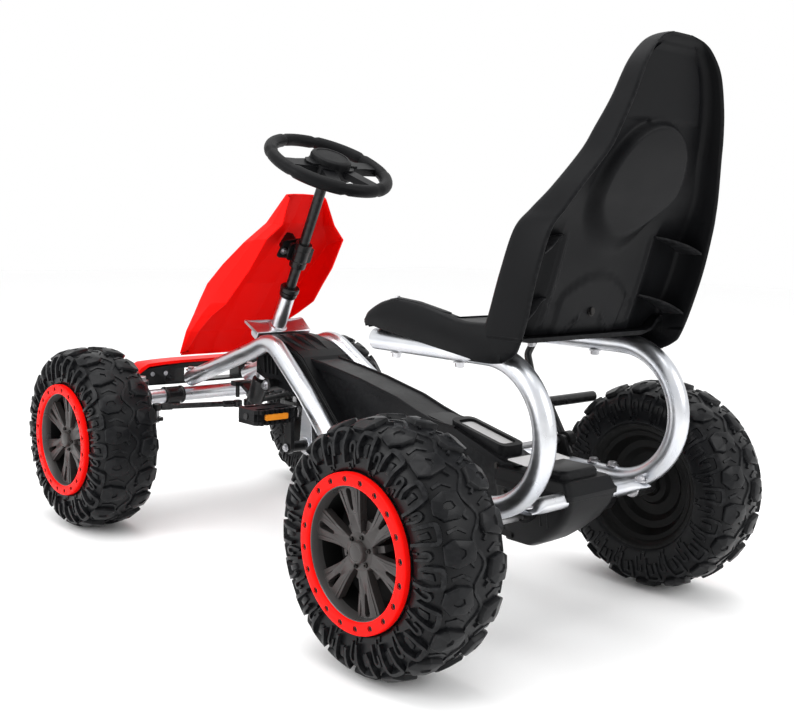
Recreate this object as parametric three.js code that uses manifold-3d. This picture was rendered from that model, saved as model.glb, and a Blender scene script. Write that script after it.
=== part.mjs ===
// Pedal go kart, millimetres, +Z up, facing -Y, driver's left is +X, floor at Z = 0.
import * as THREE from 'three';
import { mergeVertices } from 'three/addons/utils/BufferGeometryUtils.js';
import Module from 'manifold-3d';

const wasm = await Module();
wasm.setup();

// ---- driving sizes -------------------------------------------------------
const fitGap = 0.3;            // between pieces that touch
const turnGap = 0.5;           // radial play of a turning shaft
const facets = 24;             // sides of a round piece

const wheelRadius = 150;
const axleHeight = 150;        // axle height the drawing's heights are given for
const lift = wheelRadius - axleHeight;
const tyreHalfWidth = 52.8;
const ringOuter = 91.2;
const ringInner = 76;
const ringProud = 5.3;         // ring face beyond the tyre side
const frontAxleY = -401;
const rearAxleY = 367;
const frontTrackHalf = 247.6;
const rearTrackHalf = 262.2;
const axleRadius = 8;

const tubeRadius = 14;
const archX = 60;
const seatTubeX = 132;
const lowTubeZ = 180;
const seatTubeZ = 364;
const bendCentreY = rearAxleY + 22;
const tubeFrontEndZ = 234.5;
const crossY = rearAxleY + 73;  // rear crossmember

const beamRadius = 12.5;
const beamZ = 207;
const kingpinX = 158;
const kingpinRadius = 7;
const steerArmBack = 35;
const steerArmIn = 12;

const columnFoot = new THREE.Vector3(0, -277, 224);
const columnTilt = THREE.MathUtils.degToRad(26.3);
const columnRadius = 8.5;
const headTubeOuter = 12.5;
const rimCentreZ = 604;
const rimRadius = 93;
const rimTube = 14;
const pitmanReach = 45;
const tieZ = 195;
const tieSpread = 11;          // inner ends of the tie rods from the centre
const pinLift = 11.5;          // pitman pins above the tie rod line

const crankY = -38;
const crankZ = 176;
const crankArm = 55;
const crankArmX = 104;         // inner face of the arm
const crankArmThick = 7;
const pedalLength = 72;        // along the spindle
const chainPitch = 12.7;
const crankTeeth = 16;
const axleTeeth = 13;
const chainHalf = 4;

const coverWall = 3;
const coverHalf = 30;
const rearCoverHalf = 60;

const seatWall = 7;
const seatHalf = 165;

const brakePivotY = rearAxleY - 82;
const brakePivotZ = 214;
const brakeBarRadius = 8;
const brakeGap = 6;            // bar to tyre when released

// ---- materials -----------------------------------------------------------
const paint = {
  red: [0xd81810, 0.3, 0], silver: [0xb9bcc0, 0.35, 0.9], black: [0x1c1c1e, 0.6, 0],
  tyre: [0x202124, 0.9, 0], grey: [0x4a4846, 0.5, 0.1], steel: [0x777a7d, 0.4, 0.9],
  dark: [0x2a2a2c, 0.45, 0.4],
};
const group = new THREE.Group();
group.name = 'pedal_go_kart';
function add(name, geometry, kind) {
  const [color, roughness, metalness] = paint[kind];
  const material = new THREE.MeshStandardMaterial({ color, roughness, metalness });
  material.name = kind;
  const mesh = new THREE.Mesh(geometry.clone().translate(0, 0, lift), material);
  mesh.name = name;
  group.add(mesh);
  return mesh;
}

// ---- shape helpers -------------------------------------------------------
const vec = (x, y, z) => new THREE.Vector3(x, y, z);

// closed profile [[radius, along], ...] turned about the X axis through (y, z)
function turned(profile, x, y, z, sides = facets) {
  const pts = profile.map(([r, a]) => new THREE.Vector2(r, a));
  const geometry = new THREE.LatheGeometry(pts, sides, Math.PI / sides);
  geometry.rotateZ(-Math.PI / 2);
  geometry.translate(x, y, z);
  return geometry;
}

function washer(inner, outer, a, b) {
  return [[inner, a], [outer, a], [outer, b], [inner, b], [inner, a]];
}

function solidDisc(outer, a, b) {
  return [[0, a], [outer, a], [outer, b], [0, b]];
}

function pointAlong(geometry, from, to) {
  const dir = to.clone().sub(from).normalize();
  geometry.applyQuaternion(new THREE.Quaternion().setFromUnitVectors(vec(0, 1, 0), dir));
  geometry.translate(from.x, from.y, from.z);
  return geometry;
}

// solid rod between two points
function rod(from, to, radius, sides = 16) {
  const length = from.distanceTo(to);
  const geometry = new THREE.CylinderGeometry(radius, radius, length, sides);
  geometry.translate(0, length / 2, 0);
  return pointAlong(geometry, from, to);
}

// hollow tube between two points
function sleeve(from, to, outer, inner, sides = facets) {
  const length = from.distanceTo(to);
  const pts = washer(inner, outer, 0, length).map(([r, a]) => new THREE.Vector2(r, a));
  return pointAlong(new THREE.LatheGeometry(pts, sides), from, to);
}

// outline [[y, z], ...] extruded along X from x0 to x1
function plateYZ(outline, x0, x1) {
  const shape = new THREE.Shape(outline.map(([y, z]) => new THREE.Vector2(y, z)));
  const geometry = new THREE.ExtrudeGeometry(shape, { depth: x1 - x0, bevelEnabled: false });
  geometry.applyMatrix4(new THREE.Matrix4().set(0, 0, 1, x0, 1, 0, 0, 0, 0, 1, 0, 0, 0, 0, 0, 1));
  return geometry;
}

// outline [[x, z], ...] extruded along Y from y0 to y1
function plateXZ(outline, y0, y1) {
  const shape = new THREE.Shape(outline.map(([x, z]) => new THREE.Vector2(x, z)));
  const geometry = new THREE.ExtrudeGeometry(shape, { depth: y1 - y0, bevelEnabled: false });
  geometry.applyMatrix4(new THREE.Matrix4().set(1, 0, 0, 0, 0, 0, -1, y1, 0, 1, 0, 0, 0, 0, 0, 1));
  return geometry;
}

function box(x0, x1, y0, y1, z0, z1) {
  const geometry = new THREE.BoxGeometry(x1 - x0, y1 - y0, z1 - z0);
  geometry.translate((x0 + x1) / 2, (y0 + y1) / 2, (z0 + z1) / 2);
  return geometry;
}

// straight runs joined by rounded bends
function bentPath(corners, bendRadius) {
  const path = new THREE.CurvePath();
  let last = corners[0];
  for (let i = 1; i < corners.length - 1; i += 1) {
    const here = corners[i];
    const back = corners[i - 1].clone().sub(here);
    const ahead = corners[i + 1].clone().sub(here);
    const turn = Math.PI - back.angleTo(ahead);
    const limit = 0.48 * Math.min(back.length(), ahead.length());
    const trim = Math.min(bendRadius * Math.tan(turn / 2), limit);
    const a = here.clone().add(back.setLength(trim));
    const b = here.clone().add(ahead.setLength(trim));
    path.add(new THREE.LineCurve3(last, a));
    path.add(new THREE.QuadraticBezierCurve3(a, here, b));
    last = b;
  }
  path.add(new THREE.LineCurve3(last, corners[corners.length - 1]));
  return path;
}

function bentTube(path, radius, steps, sides = 12) {
  const shape = new THREE.Shape();
  shape.absarc(0, 0, radius, 0, 2 * Math.PI);
  return new THREE.ExtrudeGeometry(shape, { steps, extrudePath: path, curveSegments: sides / 2, bevelEnabled: false });
}

// closed loops of equal length joined into one skinned solid
function loft(loops) {
  const n = loops[0].length;
  const positions = [];
  loops.forEach((loop) => loop.forEach((p) => positions.push(p.x, p.y, p.z)));
  const index = [];
  for (let i = 0; i < loops.length - 1; i += 1) {
    for (let j = 0; j < n; j += 1) {
      const a = i * n + j;
      const b = i * n + ((j + 1) % n);
      index.push(a, b, b + n, a, b + n, a + n);
    }
  }
  [0, loops.length - 1].forEach((k) => {
    const loop = loops[k];
    const centre = loop.reduce((s, p) => s.add(p), vec(0, 0, 0)).divideScalar(n);
    const normal = vec(0, 0, 0);
    loop.forEach((p, j) => normal.add(p.clone().sub(centre).cross(loop[(j + 1) % n].clone().sub(centre))));
    normal.normalize();
    const u = loop[1].clone().sub(loop[0]).projectOnPlane(normal).normalize();
    const w = normal.clone().cross(u);
    const flat = loop.map((p) => new THREE.Vector2(p.clone().sub(centre).dot(u), p.clone().sub(centre).dot(w)));
    THREE.ShapeUtils.triangulateShape(flat, []).forEach(([a, b, c]) => {
      if (k === 0) index.push(a, c, b);
      else index.push(k * n + a, k * n + b, k * n + c);
    });
  });
  const geometry = new THREE.BufferGeometry();
  geometry.setAttribute('position', new THREE.Float32BufferAttribute(positions, 3));
  geometry.setIndex(index);
  return faceOut(geometry);
}

function volumeOf(geometry) {
  const p = geometry.attributes.position;
  const ix = geometry.index.array;
  let sum = 0;
  for (let i = 0; i < ix.length; i += 3) {
    const a = vec().fromBufferAttribute(p, ix[i]);
    const b = vec().fromBufferAttribute(p, ix[i + 1]);
    const c = vec().fromBufferAttribute(p, ix[i + 2]);
    sum += a.dot(b.cross(c));
  }
  return sum / 6;
}

function faceOut(geometry) {
  if (volumeOf(geometry) < 0) {
    const ix = geometry.index.array;
    for (let i = 0; i < ix.length; i += 3) {
      const t = ix[i];
      ix[i] = ix[i + 1];
      ix[i + 1] = t;
    }
  }
  return geometry;
}

function toSolid(geometry) {
  const bare = geometry.clone();
  bare.deleteAttribute('normal');
  bare.deleteAttribute('uv');
  const merged = faceOut(mergeVertices(bare, 1e-4));
  return new wasm.Manifold(new wasm.Mesh({
    numProp: 3,
    vertProperties: Float32Array.from(merged.attributes.position.array),
    triVerts: Uint32Array.from(merged.index.array),
  }));
}

function toGeometry(solid) {
  const mesh = solid.getMesh();
  const geometry = new THREE.BufferGeometry();
  geometry.setAttribute('position', new THREE.BufferAttribute(Float32Array.from(mesh.vertProperties), 3));
  geometry.setIndex(Array.from(mesh.triVerts));
  return geometry;
}

function joined(...parts) {
  return toGeometry(parts.map(toSolid).reduce((a, b) => a.add(b)));
}

function cut(base, ...tools) {
  return toGeometry(tools.map(toSolid).reduce((a, b) => a.subtract(b), toSolid(base)));
}

function mirrorX(geometry) {
  const copy = geometry.clone();
  copy.applyMatrix4(new THREE.Matrix4().makeScale(-1, 1, 1));
  const merged = copy.index ? copy : mergeVertices(copy, 1e-6);
  merged.deleteAttribute('normal');
  merged.deleteAttribute('uv');
  return faceOut(mergeVertices(merged, 1e-4));
}

const ring = (cy, cz, r, from, to, n) => Array.from({ length: n + 1 }, (_, i) => {
  const a = THREE.MathUtils.degToRad(from + (to - from) * i / n);
  return [cy + r * Math.cos(a), cz + r * Math.sin(a)];
});

// ---- frame tubes ---------------------------------------------------------
const bendRadius = (seatTubeZ - lowTubeZ) / 2;
function frameTubePath() {
  const rearRun = vec(seatTubeX, rearAxleY - 77, lowTubeZ);
  const front = bentPath([
    vec(archX, frontAxleY, tubeFrontEndZ), vec(archX, -206, 304), vec(archX + 2, -150, 326),
    vec(archX + 15, -40, 254), vec(archX + 33, 64, lowTubeZ), rearRun,
    vec(seatTubeX, bendCentreY, lowTubeZ),
  ], 70);
  const middle = (lowTubeZ + seatTubeZ) / 2;
  const k = bendRadius * 0.5523;
  front.add(new THREE.CubicBezierCurve3(
    vec(seatTubeX, bendCentreY, lowTubeZ), vec(seatTubeX, bendCentreY + k, lowTubeZ),
    vec(seatTubeX, bendCentreY + bendRadius, middle - k), vec(seatTubeX, bendCentreY + bendRadius, middle)));
  front.add(new THREE.CubicBezierCurve3(
    vec(seatTubeX, bendCentreY + bendRadius, middle), vec(seatTubeX, bendCentreY + bendRadius, middle + k),
    vec(seatTubeX, bendCentreY + k, seatTubeZ), vec(seatTubeX, bendCentreY, seatTubeZ)));
  front.add(new THREE.LineCurve3(vec(seatTubeX, bendCentreY, seatTubeZ), vec(seatTubeX, rearAxleY - 180, seatTubeZ)));
  return front;
}
const leftTube = bentTube(frameTubePath(), tubeRadius, 64, 12);
add('left_frame_tube', leftTube, 'silver');
add('right_frame_tube', mirrorX(leftTube), 'silver');

add('rear_crossmember', rod(
  vec(-seatTubeX + tubeRadius + fitGap, crossY, lowTubeZ + 4), vec(seatTubeX - tubeRadius - fitGap, crossY, lowTubeZ + 4), 10), 'silver');

// ---- front beam and steering heads --------------------------------------
const kingpinSleeveOuter = 14;
const beamEnd = kingpinX - kingpinSleeveOuter - fitGap;
add('front_beam', rod(vec(-beamEnd, frontAxleY, beamZ), vec(beamEnd, frontAxleY, beamZ), beamRadius), 'silver');
const beamSleeve = sleeve(vec(77, frontAxleY, beamZ), vec(114, frontAxleY, beamZ), 15.5, beamRadius + fitGap, 16);
add('beam_sleeve_left', beamSleeve, 'black');
add('beam_sleeve_right', mirrorX(beamSleeve), 'black');
const kingpinSleeve = sleeve(
  vec(kingpinX, frontAxleY, beamZ - 29), vec(kingpinX, frontAxleY, beamZ + 29),
  kingpinSleeveOuter, kingpinRadius + turnGap, 20);
add('kingpin_sleeve_left', kingpinSleeve, 'silver');
add('kingpin_sleeve_right', mirrorX(kingpinSleeve), 'silver');

const stubEnd = frontTrackHalf + 39;
const stubBlockTop = beamZ - 29 - fitGap;
const armTop = stubBlockTop;
const knuckle = joined(
  box(kingpinX - 13, kingpinX + 13, frontAxleY - 13, frontAxleY + 13, axleHeight - 14, stubBlockTop),
  rod(vec(kingpinX, frontAxleY, axleHeight), vec(kingpinX, frontAxleY, beamZ + 33), kingpinRadius, 20),
  rod(vec(kingpinX, frontAxleY, beamZ + 29 + fitGap), vec(kingpinX, frontAxleY, beamZ + 38), 12, 6),
  rod(vec(kingpinX + 5, frontAxleY, axleHeight), vec(stubEnd, frontAxleY, axleHeight), axleRadius, facets),
  box(kingpinX - steerArmIn - 8, kingpinX + 8, frontAxleY + 6, frontAxleY + steerArmBack + 9, armTop - 6, armTop),
  rod(vec(kingpinX - steerArmIn, frontAxleY + steerArmBack, armTop - 3),
    vec(kingpinX - steerArmIn, frontAxleY + steerArmBack, 190), 3.5, 12),
);
add('left_knuckle', knuckle, 'dark');
add('right_knuckle', mirrorX(knuckle), 'dark');

// ---- steering column -----------------------------------------------------
const columnDir = vec(0, Math.sin(columnTilt), Math.cos(columnTilt));
const onColumn = (z) => columnFoot.clone().addScaledVector(columnDir, (z - columnFoot.z) / columnDir.z);
const columnSide = vec(0, -Math.cos(columnTilt), Math.sin(columnTilt));
const pitmanBall = onColumn(212).addScaledVector(columnSide, pitmanReach);
const hubBack = -16;           // back of the wheel hub from the rim plane
const columnTop = onColumn(rimCentreZ).addScaledVector(columnDir, hubBack - fitGap);

add('head_tube', sleeve(onColumn(248), onColumn(392), headTubeOuter, columnRadius + turnGap), 'silver');
add('column_collar', sleeve(onColumn(392.5), onColumn(408), 16, columnRadius + turnGap), 'black');

const plateAt = onColumn(338);
const plateLift = 3;
const headPlate = cut(
  joined(
    new THREE.BoxGeometry(2 * archX, 30, 4).rotateX(-columnTilt).translate(plateAt.x, plateAt.y, plateAt.z),
    ...[-1, 1].map((s) => new THREE.BoxGeometry(4, 26, 34).rotateX(-columnTilt)
      .translate(s * (archX - plateLift), plateAt.y - 5.5, plateAt.z - 15)),
  ),
  rod(onColumn(300), onColumn(380), headTubeOuter + fitGap, facets),
  mirrorX(bentTube(frameTubePath(), tubeRadius + fitGap, 64, 12)),
  bentTube(frameTubePath(), tubeRadius + fitGap, 64, 12),
);
add('head_plate', headPlate, 'silver');

const column = joined(
  rod(onColumn(206), columnTop, columnRadius, facets),
  rod(onColumn(204), onColumn(245), 15, facets),
);
add('steering_column', column, 'dark');
const pitmanFrom = onColumn(212).addScaledVector(columnSide, 15 + fitGap);
const pitman = joined(
  (() => {
    const bar = new THREE.BoxGeometry(16, pitmanReach - 15, 7);
    bar.rotateX(-columnTilt);
    const mid = pitmanFrom.clone().lerp(pitmanBall, 0.5);
    bar.translate(mid.x, mid.y, mid.z);
    return bar;
  })(),
  box(-20, 20, pitmanBall.y - 8, pitmanBall.y + 8, pitmanBall.z - 5, pitmanBall.z + 3),
  rod(vec(-tieSpread, pitmanBall.y, tieZ + pinLift), vec(-tieSpread, pitmanBall.y, pitmanBall.z), 3.5, 12),
  rod(vec(tieSpread, pitmanBall.y, tieZ + pinLift), vec(tieSpread, pitmanBall.y, pitmanBall.z), 3.5, 12),
);
add('pitman_arm', pitman, 'dark');

// tie rods, open where they meet the pitman arm
const tieOuter = vec(kingpinX - steerArmIn, frontAxleY + steerArmBack, tieZ);
const tieInner = vec(tieSpread, pitmanBall.y, tieZ);
const tieRod = joined(
  rod(tieOuter, tieInner, 5, 12),
  rod(tieOuter.clone().add(vec(0, 0, -4.5)), tieOuter.clone().add(vec(0, 0, 6)), 8, 12),
  rod(tieInner.clone().add(vec(0, 0, -6)), tieInner.clone().add(vec(0, 0, 5)), 8, 12),
);
add('left_tie_rod', tieRod, 'dark');
add('right_tie_rod', mirrorX(tieRod), 'dark');

// steering wheel, built flat and set on the column
const rimShape = new THREE.TorusGeometry(rimRadius, rimTube, 12, 36);
const steeringWheel = joined(
  rimShape,
  new THREE.CylinderGeometry(32, 26, 22, facets).rotateX(Math.PI / 2).translate(0, 0, hubBack + 11),
  new THREE.BoxGeometry(2 * (rimRadius - 4), 34, 12).translate(0, 4, -3),
  new THREE.BoxGeometry(20, 70, 11).rotateZ(0.42).translate(22, -52, -3),
  new THREE.BoxGeometry(20, 70, 11).rotateZ(-0.42).translate(-22, -52, -3),
);
const wheelFrame = new THREE.Matrix4().makeBasis(vec(-1, 0, 0), columnSide.clone(), columnDir.clone());
wheelFrame.setPosition(onColumn(rimCentreZ));
add('steering_wheel', steeringWheel.applyMatrix4(wheelFrame), 'black');
add('steering_cap', new THREE.CylinderGeometry(24, 28, 9, facets).rotateX(Math.PI / 2)
  .translate(0, 0, hubBack + 22 + fitGap + 4.5).applyMatrix4(wheelFrame), 'grey');

// ---- fairing -------------------------------------------------------------
// each row: front corner, rear edge of the side, centre of the front face
const fairingWall = 4;
const fairingRows = [
  [[36, -152, 558], [37, -141, 552], [-156, 560]],
  [[58, -175, 512], [53, -138, 510], [-188, 515]],
  [[85, -198, 480], [78, -145, 487], [-226, 481]],
  [[93, -247, 443], [84, -181, 438], [-276, 444]],
  [[96, -289, 409], [87, -210, 409], [-320, 409]],
  [[97, -311, 380], [91, -240, 378], [-346, 380]],
  [[96, -331, 355], [91, -283, 355], [-368, 353]],
  [[90, -366, 323], [80, -340, 323], [-402, 319]],
  [[78, -408, 278], [72, -392, 284], [-432, 274]],
];
const fairing = loft(fairingRows.map(([f, e, c]) => {
  const outer = [vec(...e), vec(...f), vec(f[0] * 0.72, f[1] * 0.35 + c[0] * 0.65, c[1]), vec(0, c[0], c[1])];
  const inner = [
    vec(0, c[0] + fairingWall, c[1] - 2),
    vec(f[0] * 0.72 - 1, f[1] * 0.35 + c[0] * 0.65 + fairingWall, c[1] - 2),
    vec(f[0] - fairingWall, f[1] + fairingWall, f[2] - 2),
    vec(e[0] - fairingWall, e[1], e[2] - 1),
  ];
  const flip = (p) => vec(-p.x, p.y, p.z);
  const right = outer.slice(0, 3).map(flip).reverse();
  const rightIn = inner.slice(1).map(flip);
  return [...outer, ...right, ...rightIn.reverse(), ...inner];
}));
add('fairing', fairing, 'red');

const clampLow = onColumn(442);
const clampTop = onColumn(480);
const bracket = cut(
  joined(
    rod(clampLow, clampTop, 14, facets),
    plateYZ([[-262.4, 448], [clampLow.y + 4, 448], [clampLow.y + 4, 474], [-227.2, 474]], -5, 5),
  ),
  rod(onColumn(430), onColumn(492), columnRadius + turnGap, facets),
);
add('fairing_bracket', bracket, 'black');

const wingTop = [[-150, 250], [-132, 262], [-66, 265], [66, 265], [132, 262], [150, 250]];
const wing = plateXZ([...wingTop, [150, 246], [130, 257], [66, 260], [-66, 260], [-130, 257], [-150, 246]],
  frontAxleY - 61, frontAxleY - 20);
add('front_wing', wing, 'red');
const wingUnder = cut(
  plateXZ([[-148, 244], [-129, 255 + 1.5], [-66, 259.5], [66, 259.5], [129, 256.5], [148, 244], [140, 232],
    [100, 226], [-100, 226], [-140, 232]], frontAxleY - 55, frontAxleY - 23),
  box(-90, 90, frontAxleY - 51, frontAxleY + 1, 220, 250),
);
add('wing_bracket', wingUnder, 'black');

// ---- seat ----------------------------------------------------------------
const seatUnder = seatTubeZ + tubeRadius + fitGap;
const panTop = seatUnder + seatWall;
// rows up the back: height, rear edge behind the axle, half width, wing depth
const backRows = [
  [378, 92, 155, 62], [409, 104, 158, 60], [463, 118, 164, 56], [512, 131, 160, 54],
  [535, 141, 149, 50], [559, 152, 136, 43], [599, 169, 110, 40], [625, 175, 102, 37],
  [657, 181, 88, 32], [694, 184, 72, 28], [721, 181, 50, 22], [733, 178, 26, 14],
];
const back = loft(backRows.map(([z, behind, w, depth]) => {
  const rear = rearAxleY + behind;
  const half = [
    [w, rear - depth], [w, rear - 7], [w - 6, rear], [w - 16, rear], [w * 0.76, rear - 9], [w * 0.4, rear - 12],
    [0, rear - 12],
  ];
  const innerHalf = [
    [0, rear - 12 - seatWall], [w * 0.4, rear - 12 - seatWall], [w * 0.74, rear - 11 - seatWall],
    [w - seatWall - 7, rear - 10 - seatWall], [w - seatWall, rear - Math.min(depth - 1, 24)], [w - seatWall, rear - depth],
  ];
  const flip = ([x, y]) => [-x, y];
  const loop = [
    ...half, ...half.slice(0, -1).map(flip).reverse(),
    ...innerHalf.slice(1).map(flip).reverse(), ...innerHalf,
  ];
  return loop.map(([x, y]) => vec(x, y, z));
}));
// rows along the base: place behind the axle, top of the side, bottom of the side, half width
const baseRows = [
  [-176, 389, 387, 160], [-162, 404, 386, 163], [-135, 418, 382, seatHalf], [-111, 424, 379, seatHalf],
  [-37, 414, 368, seatHalf], [29, 404, 360, seatHalf], [58, 402, 357, 162], [90, 400, 357, 156],
];
const base = loft(baseRows.map(([behind, top, low, w]) => {
  const y = rearAxleY + behind;
  const pan = panTop;
  const rim = Math.max(top, pan + 1);
  const skirt = Math.min(low, seatUnder - 1);
  const half = [
    [w, skirt], [w, rim - 5], [w - 5, rim], [w - 14, rim], [w - 26, Math.min(rim - 0.5, pan + 4)], [w - 50, pan], [0, pan],
  ];
  const under = [[0, seatUnder], [w - 50, seatUnder], [w - 28, seatUnder], [w - 15, seatUnder + 1],
    [w - seatWall, seatUnder - 0.6], [w - seatWall, skirt]];
  const flip = ([x, z]) => [-x, z];
  const loop = [
    ...half, ...half.slice(0, -1).map(flip).reverse(),
    ...under.slice(1).map(flip).reverse(), ...under,
  ];
  return loop.map(([x, z]) => vec(x, y, z));
}));
add('seat_shell', joined(back, base), 'black');

// ---- covers over the drive ----------------------------------------------
const behindAxle = ([y, z]) => [rearAxleY + y, z];
const coverSplit = -21;        // joint of the two covers, from the rear axle
const coverOutline = [
  [-238, 281], [-205, 300], [-120, 302], [-57, 295], [-17, 289], [29, 282], [73, 273], [113, 265],
  ...[[-212, 252], [-178, 243], [-133, 242], [-49, 215], [coverSplit, 209], [coverSplit, 112]].map(behindAxle),
  [100, 122], [-20, 131], [-50, 133], [-64, 142], [-76, 158], [-80, 180], [-84, 203], [-101, 220],
  [-140, 240], [-190, 246], [-238, 262],
];
const hollowOutline = [
  [-225, 274], [-200, 292], [-120, 298], [-57, 291], [-17, 285], [29, 278], [73, 269], [113, 261],
  ...[[-212, 248], [-178, 239], [-135, 238], [-49, 211], [-7, 206], [-7, 90]].map(behindAxle),
  [-45, 90], [-45, 138], [-60, 145], [-73, 160], [-76.5, 180], [-81, 205], [-99, 223], [-139, 243],
  [-189, 249], [-225, 262],
];
const headClear = rod(onColumn(225), onColumn(345), headTubeOuter + 3, 16);
const cover = cut(
  plateYZ(coverOutline, -coverHalf, coverHalf),
  plateYZ(hollowOutline, -coverHalf + coverWall, coverHalf - coverWall),
  rod(vec(-40, crankY, crankZ), vec(40, crankY, crankZ), axleRadius + 2, 16),
  box(-10, 10, rearAxleY - 123, rearAxleY - 67, 150, 260),
  headClear,
);
add('chain_cover', cover, 'black');

const boxOutline = [
  [coverSplit + fitGap, 211], [13, 210], [43, 206], [78, 193], [91, 178], [85, 148], [66, 128], [33, 106],
  [coverSplit + fitGap, 104],
].map(behindAxle);
const boxHollow = [
  [-27, 208], [13, 207], [42, 203], [76, 190], [87, 177], [81, 149], [64, 131], [37, 112], [37, 90], [-27, 90],
].map(behindAxle);
const rearCover = cut(
  plateYZ(boxOutline, -rearCoverHalf, rearCoverHalf),
  plateYZ(boxHollow, -rearCoverHalf + coverWall, rearCoverHalf - coverWall),
  rod(vec(-80, rearAxleY, axleHeight), vec(80, rearAxleY, axleHeight), axleRadius + 2, 20),
  rod(vec(-80, crossY, lowTubeZ + 4), vec(80, crossY, lowTubeZ + 4), 10 + fitGap + 0.3, 16),
);
add('rear_cover', rearCover, 'black');

const pitchRadius = (teeth) => chainPitch / (2 * Math.sin(Math.PI / teeth));
const crankPitch = pitchRadius(crankTeeth);
const axlePitch = pitchRadius(axleTeeth);
function beltOutline(offset) {
  const run = Math.hypot(rearAxleY - crankY, axleHeight - crankZ);
  const lean = Math.atan2(axleHeight - crankZ, rearAxleY - crankY);
  const spread = Math.acos((crankPitch - axlePitch) / run);
  const deg = THREE.MathUtils.radToDeg;
  return [
    ...ring(crankY, crankZ, crankPitch + offset, deg(lean + spread), deg(lean - spread) + 360, 22),
    ...ring(rearAxleY, axleHeight, axlePitch + offset, deg(lean - spread), deg(lean + spread), 14),
  ];
}
add('chain', cut(plateYZ(beltOutline(chainHalf), -5, 5), plateYZ(beltOutline(-chainHalf), -7, 7)), 'steel');

const hangerX = 68;
const hangerOutline = [[-52, 241], [-25, 224.5], [-22, 180], ...ring(crankY, crankZ, 16, 0, -180, 8), [-54, 180]];
const hanger = cut(
  plateYZ(hangerOutline, hangerX, hangerX + 8),
  rod(vec(hangerX - 5, crankY, crankZ), vec(hangerX + 15, crankY, crankZ), axleRadius + turnGap, facets),
  bentTube(frameTubePath(), tubeRadius + fitGap, 64, 12),
);
add('crank_hanger_left', hanger, 'black');
add('crank_hanger_right', mirrorX(hanger), 'black');

// ---- rear axle -----------------------------------------------------------
const bearing = cut(
  plateYZ([[rearAxleY - 32, lowTubeZ - tubeRadius - fitGap], [rearAxleY + 20, lowTubeZ - tubeRadius - fitGap],
    [rearAxleY + 20, 160], [rearAxleY + 16, 136], [rearAxleY + 8, 130], [rearAxleY - 8, 130], [rearAxleY - 16, 136],
    [rearAxleY - 32, 158]], seatTubeX - 9, seatTubeX + 9),
  rod(vec(seatTubeX - 20, rearAxleY, axleHeight), vec(seatTubeX + 20, rearAxleY, axleHeight), axleRadius + turnGap, facets),
);
add('axle_bearing_left', bearing, 'steel');
add('axle_bearing_right', mirrorX(bearing), 'steel');

const axleEnd = rearTrackHalf + 39;
add('rear_axle', turned(solidDisc(axleRadius, -axleEnd, axleEnd), 0, rearAxleY, axleHeight), 'steel');
add('rear_sprocket', turned(
  washer(axleRadius + fitGap, axlePitch - chainHalf - fitGap, -2.5, 2.5), 0, rearAxleY, axleHeight, axleTeeth * 2), 'steel');

// ---- wheels --------------------------------------------------------------
const tread = wheelRadius / Math.cos(Math.PI / facets);
const tyreInner = ringOuter + 0.8;
const tyreProfile = [
  [tyreInner, -tyreHalfWidth + 2], [104, -tyreHalfWidth], [tread - 27, -tyreHalfWidth], [tread - 14, -45], [tread - 5, -34],
  [tread, -22], [tread, 22], [tread - 5, 34], [tread - 14, 45], [tread - 27, tyreHalfWidth], [104, tyreHalfWidth],
  [tyreInner, tyreHalfWidth - 2], [tyreInner, -tyreHalfWidth + 2],
];
const rimOuter = tyreInner - fitGap;
const rimBarrel = 78;
const webFront = 40;
const rimProfile = [
  [axleRadius + turnGap, -36], [30, -36], [34, -28], [rimBarrel, -28], [rimBarrel + 2, -42], [rimOuter, -42],
  [rimOuter, 50], [rimBarrel, 50], [rimBarrel, 26], [30, webFront], [axleRadius + turnGap, webFront],
  [axleRadius + turnGap, -36],
];
const ringProfile = washer(ringInner, ringOuter, 50 + fitGap, tyreHalfWidth + ringProud);
const capProfile = [[0, webFront + fitGap], [22, webFront + fitGap], [20, 52], [15, 56], [0, 56]];
function wheel(prefix, side, x, y) {
  const place = (profile) => {
    const geometry = turned(profile, 0, 0, 0);
    return (side > 0 ? geometry : mirrorX(geometry)).translate(side * x, y, axleHeight);
  };
  add(`${prefix}_tyre`, place(tyreProfile), 'tyre');
  add(`${prefix}_rim`, place(rimProfile), 'grey');
  add(`${prefix}_ring`, place(ringProfile), 'red');
  add(`${prefix}_cap`, place(capProfile), 'dark');
}
wheel('front_left', 1, frontTrackHalf, frontAxleY);
wheel('front_right', -1, frontTrackHalf, frontAxleY);
wheel('rear_left', 1, rearTrackHalf, rearAxleY);
wheel('rear_right', -1, rearTrackHalf, rearAxleY);

// ---- crank and pedals ----------------------------------------------------
const spindleRadius = 5;
const crankArmShape = (side) => {
  const up = side;
  const x0 = side > 0 ? crankArmX : -crankArmX - crankArmThick;
  const outline = [
    [crankY - 11, crankZ], [crankY - 11, crankZ - 6 * up], [crankY - 6, crankZ - 11 * up],
    [crankY + 6, crankZ - 11 * up], [crankY + 11, crankZ - 6 * up], [crankY + 11, crankZ],
    [crankY + 9, crankZ + (crankArm + 5) * up], [crankY + 5, crankZ + (crankArm + 9) * up],
    [crankY - 5, crankZ + (crankArm + 9) * up], [crankY - 9, crankZ + (crankArm + 5) * up],
  ];
  return plateYZ(up > 0 ? outline : outline.reverse(), x0, x0 + crankArmThick);
};
const spindle = (side) => rod(
  vec(side * (crankArmX + 2), crankY, crankZ + side * crankArm),
  vec(side * (crankArmX + crankArmThick + 4 + pedalLength), crankY, crankZ + side * crankArm), spindleRadius, 16);
add('crank_shaft', joined(
  rod(vec(-crankArmX - 3, crankY, crankZ), vec(crankArmX + 3, crankY, crankZ), axleRadius, facets),
  crankArmShape(1), crankArmShape(-1), spindle(1), spindle(-1),
), 'dark');
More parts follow.
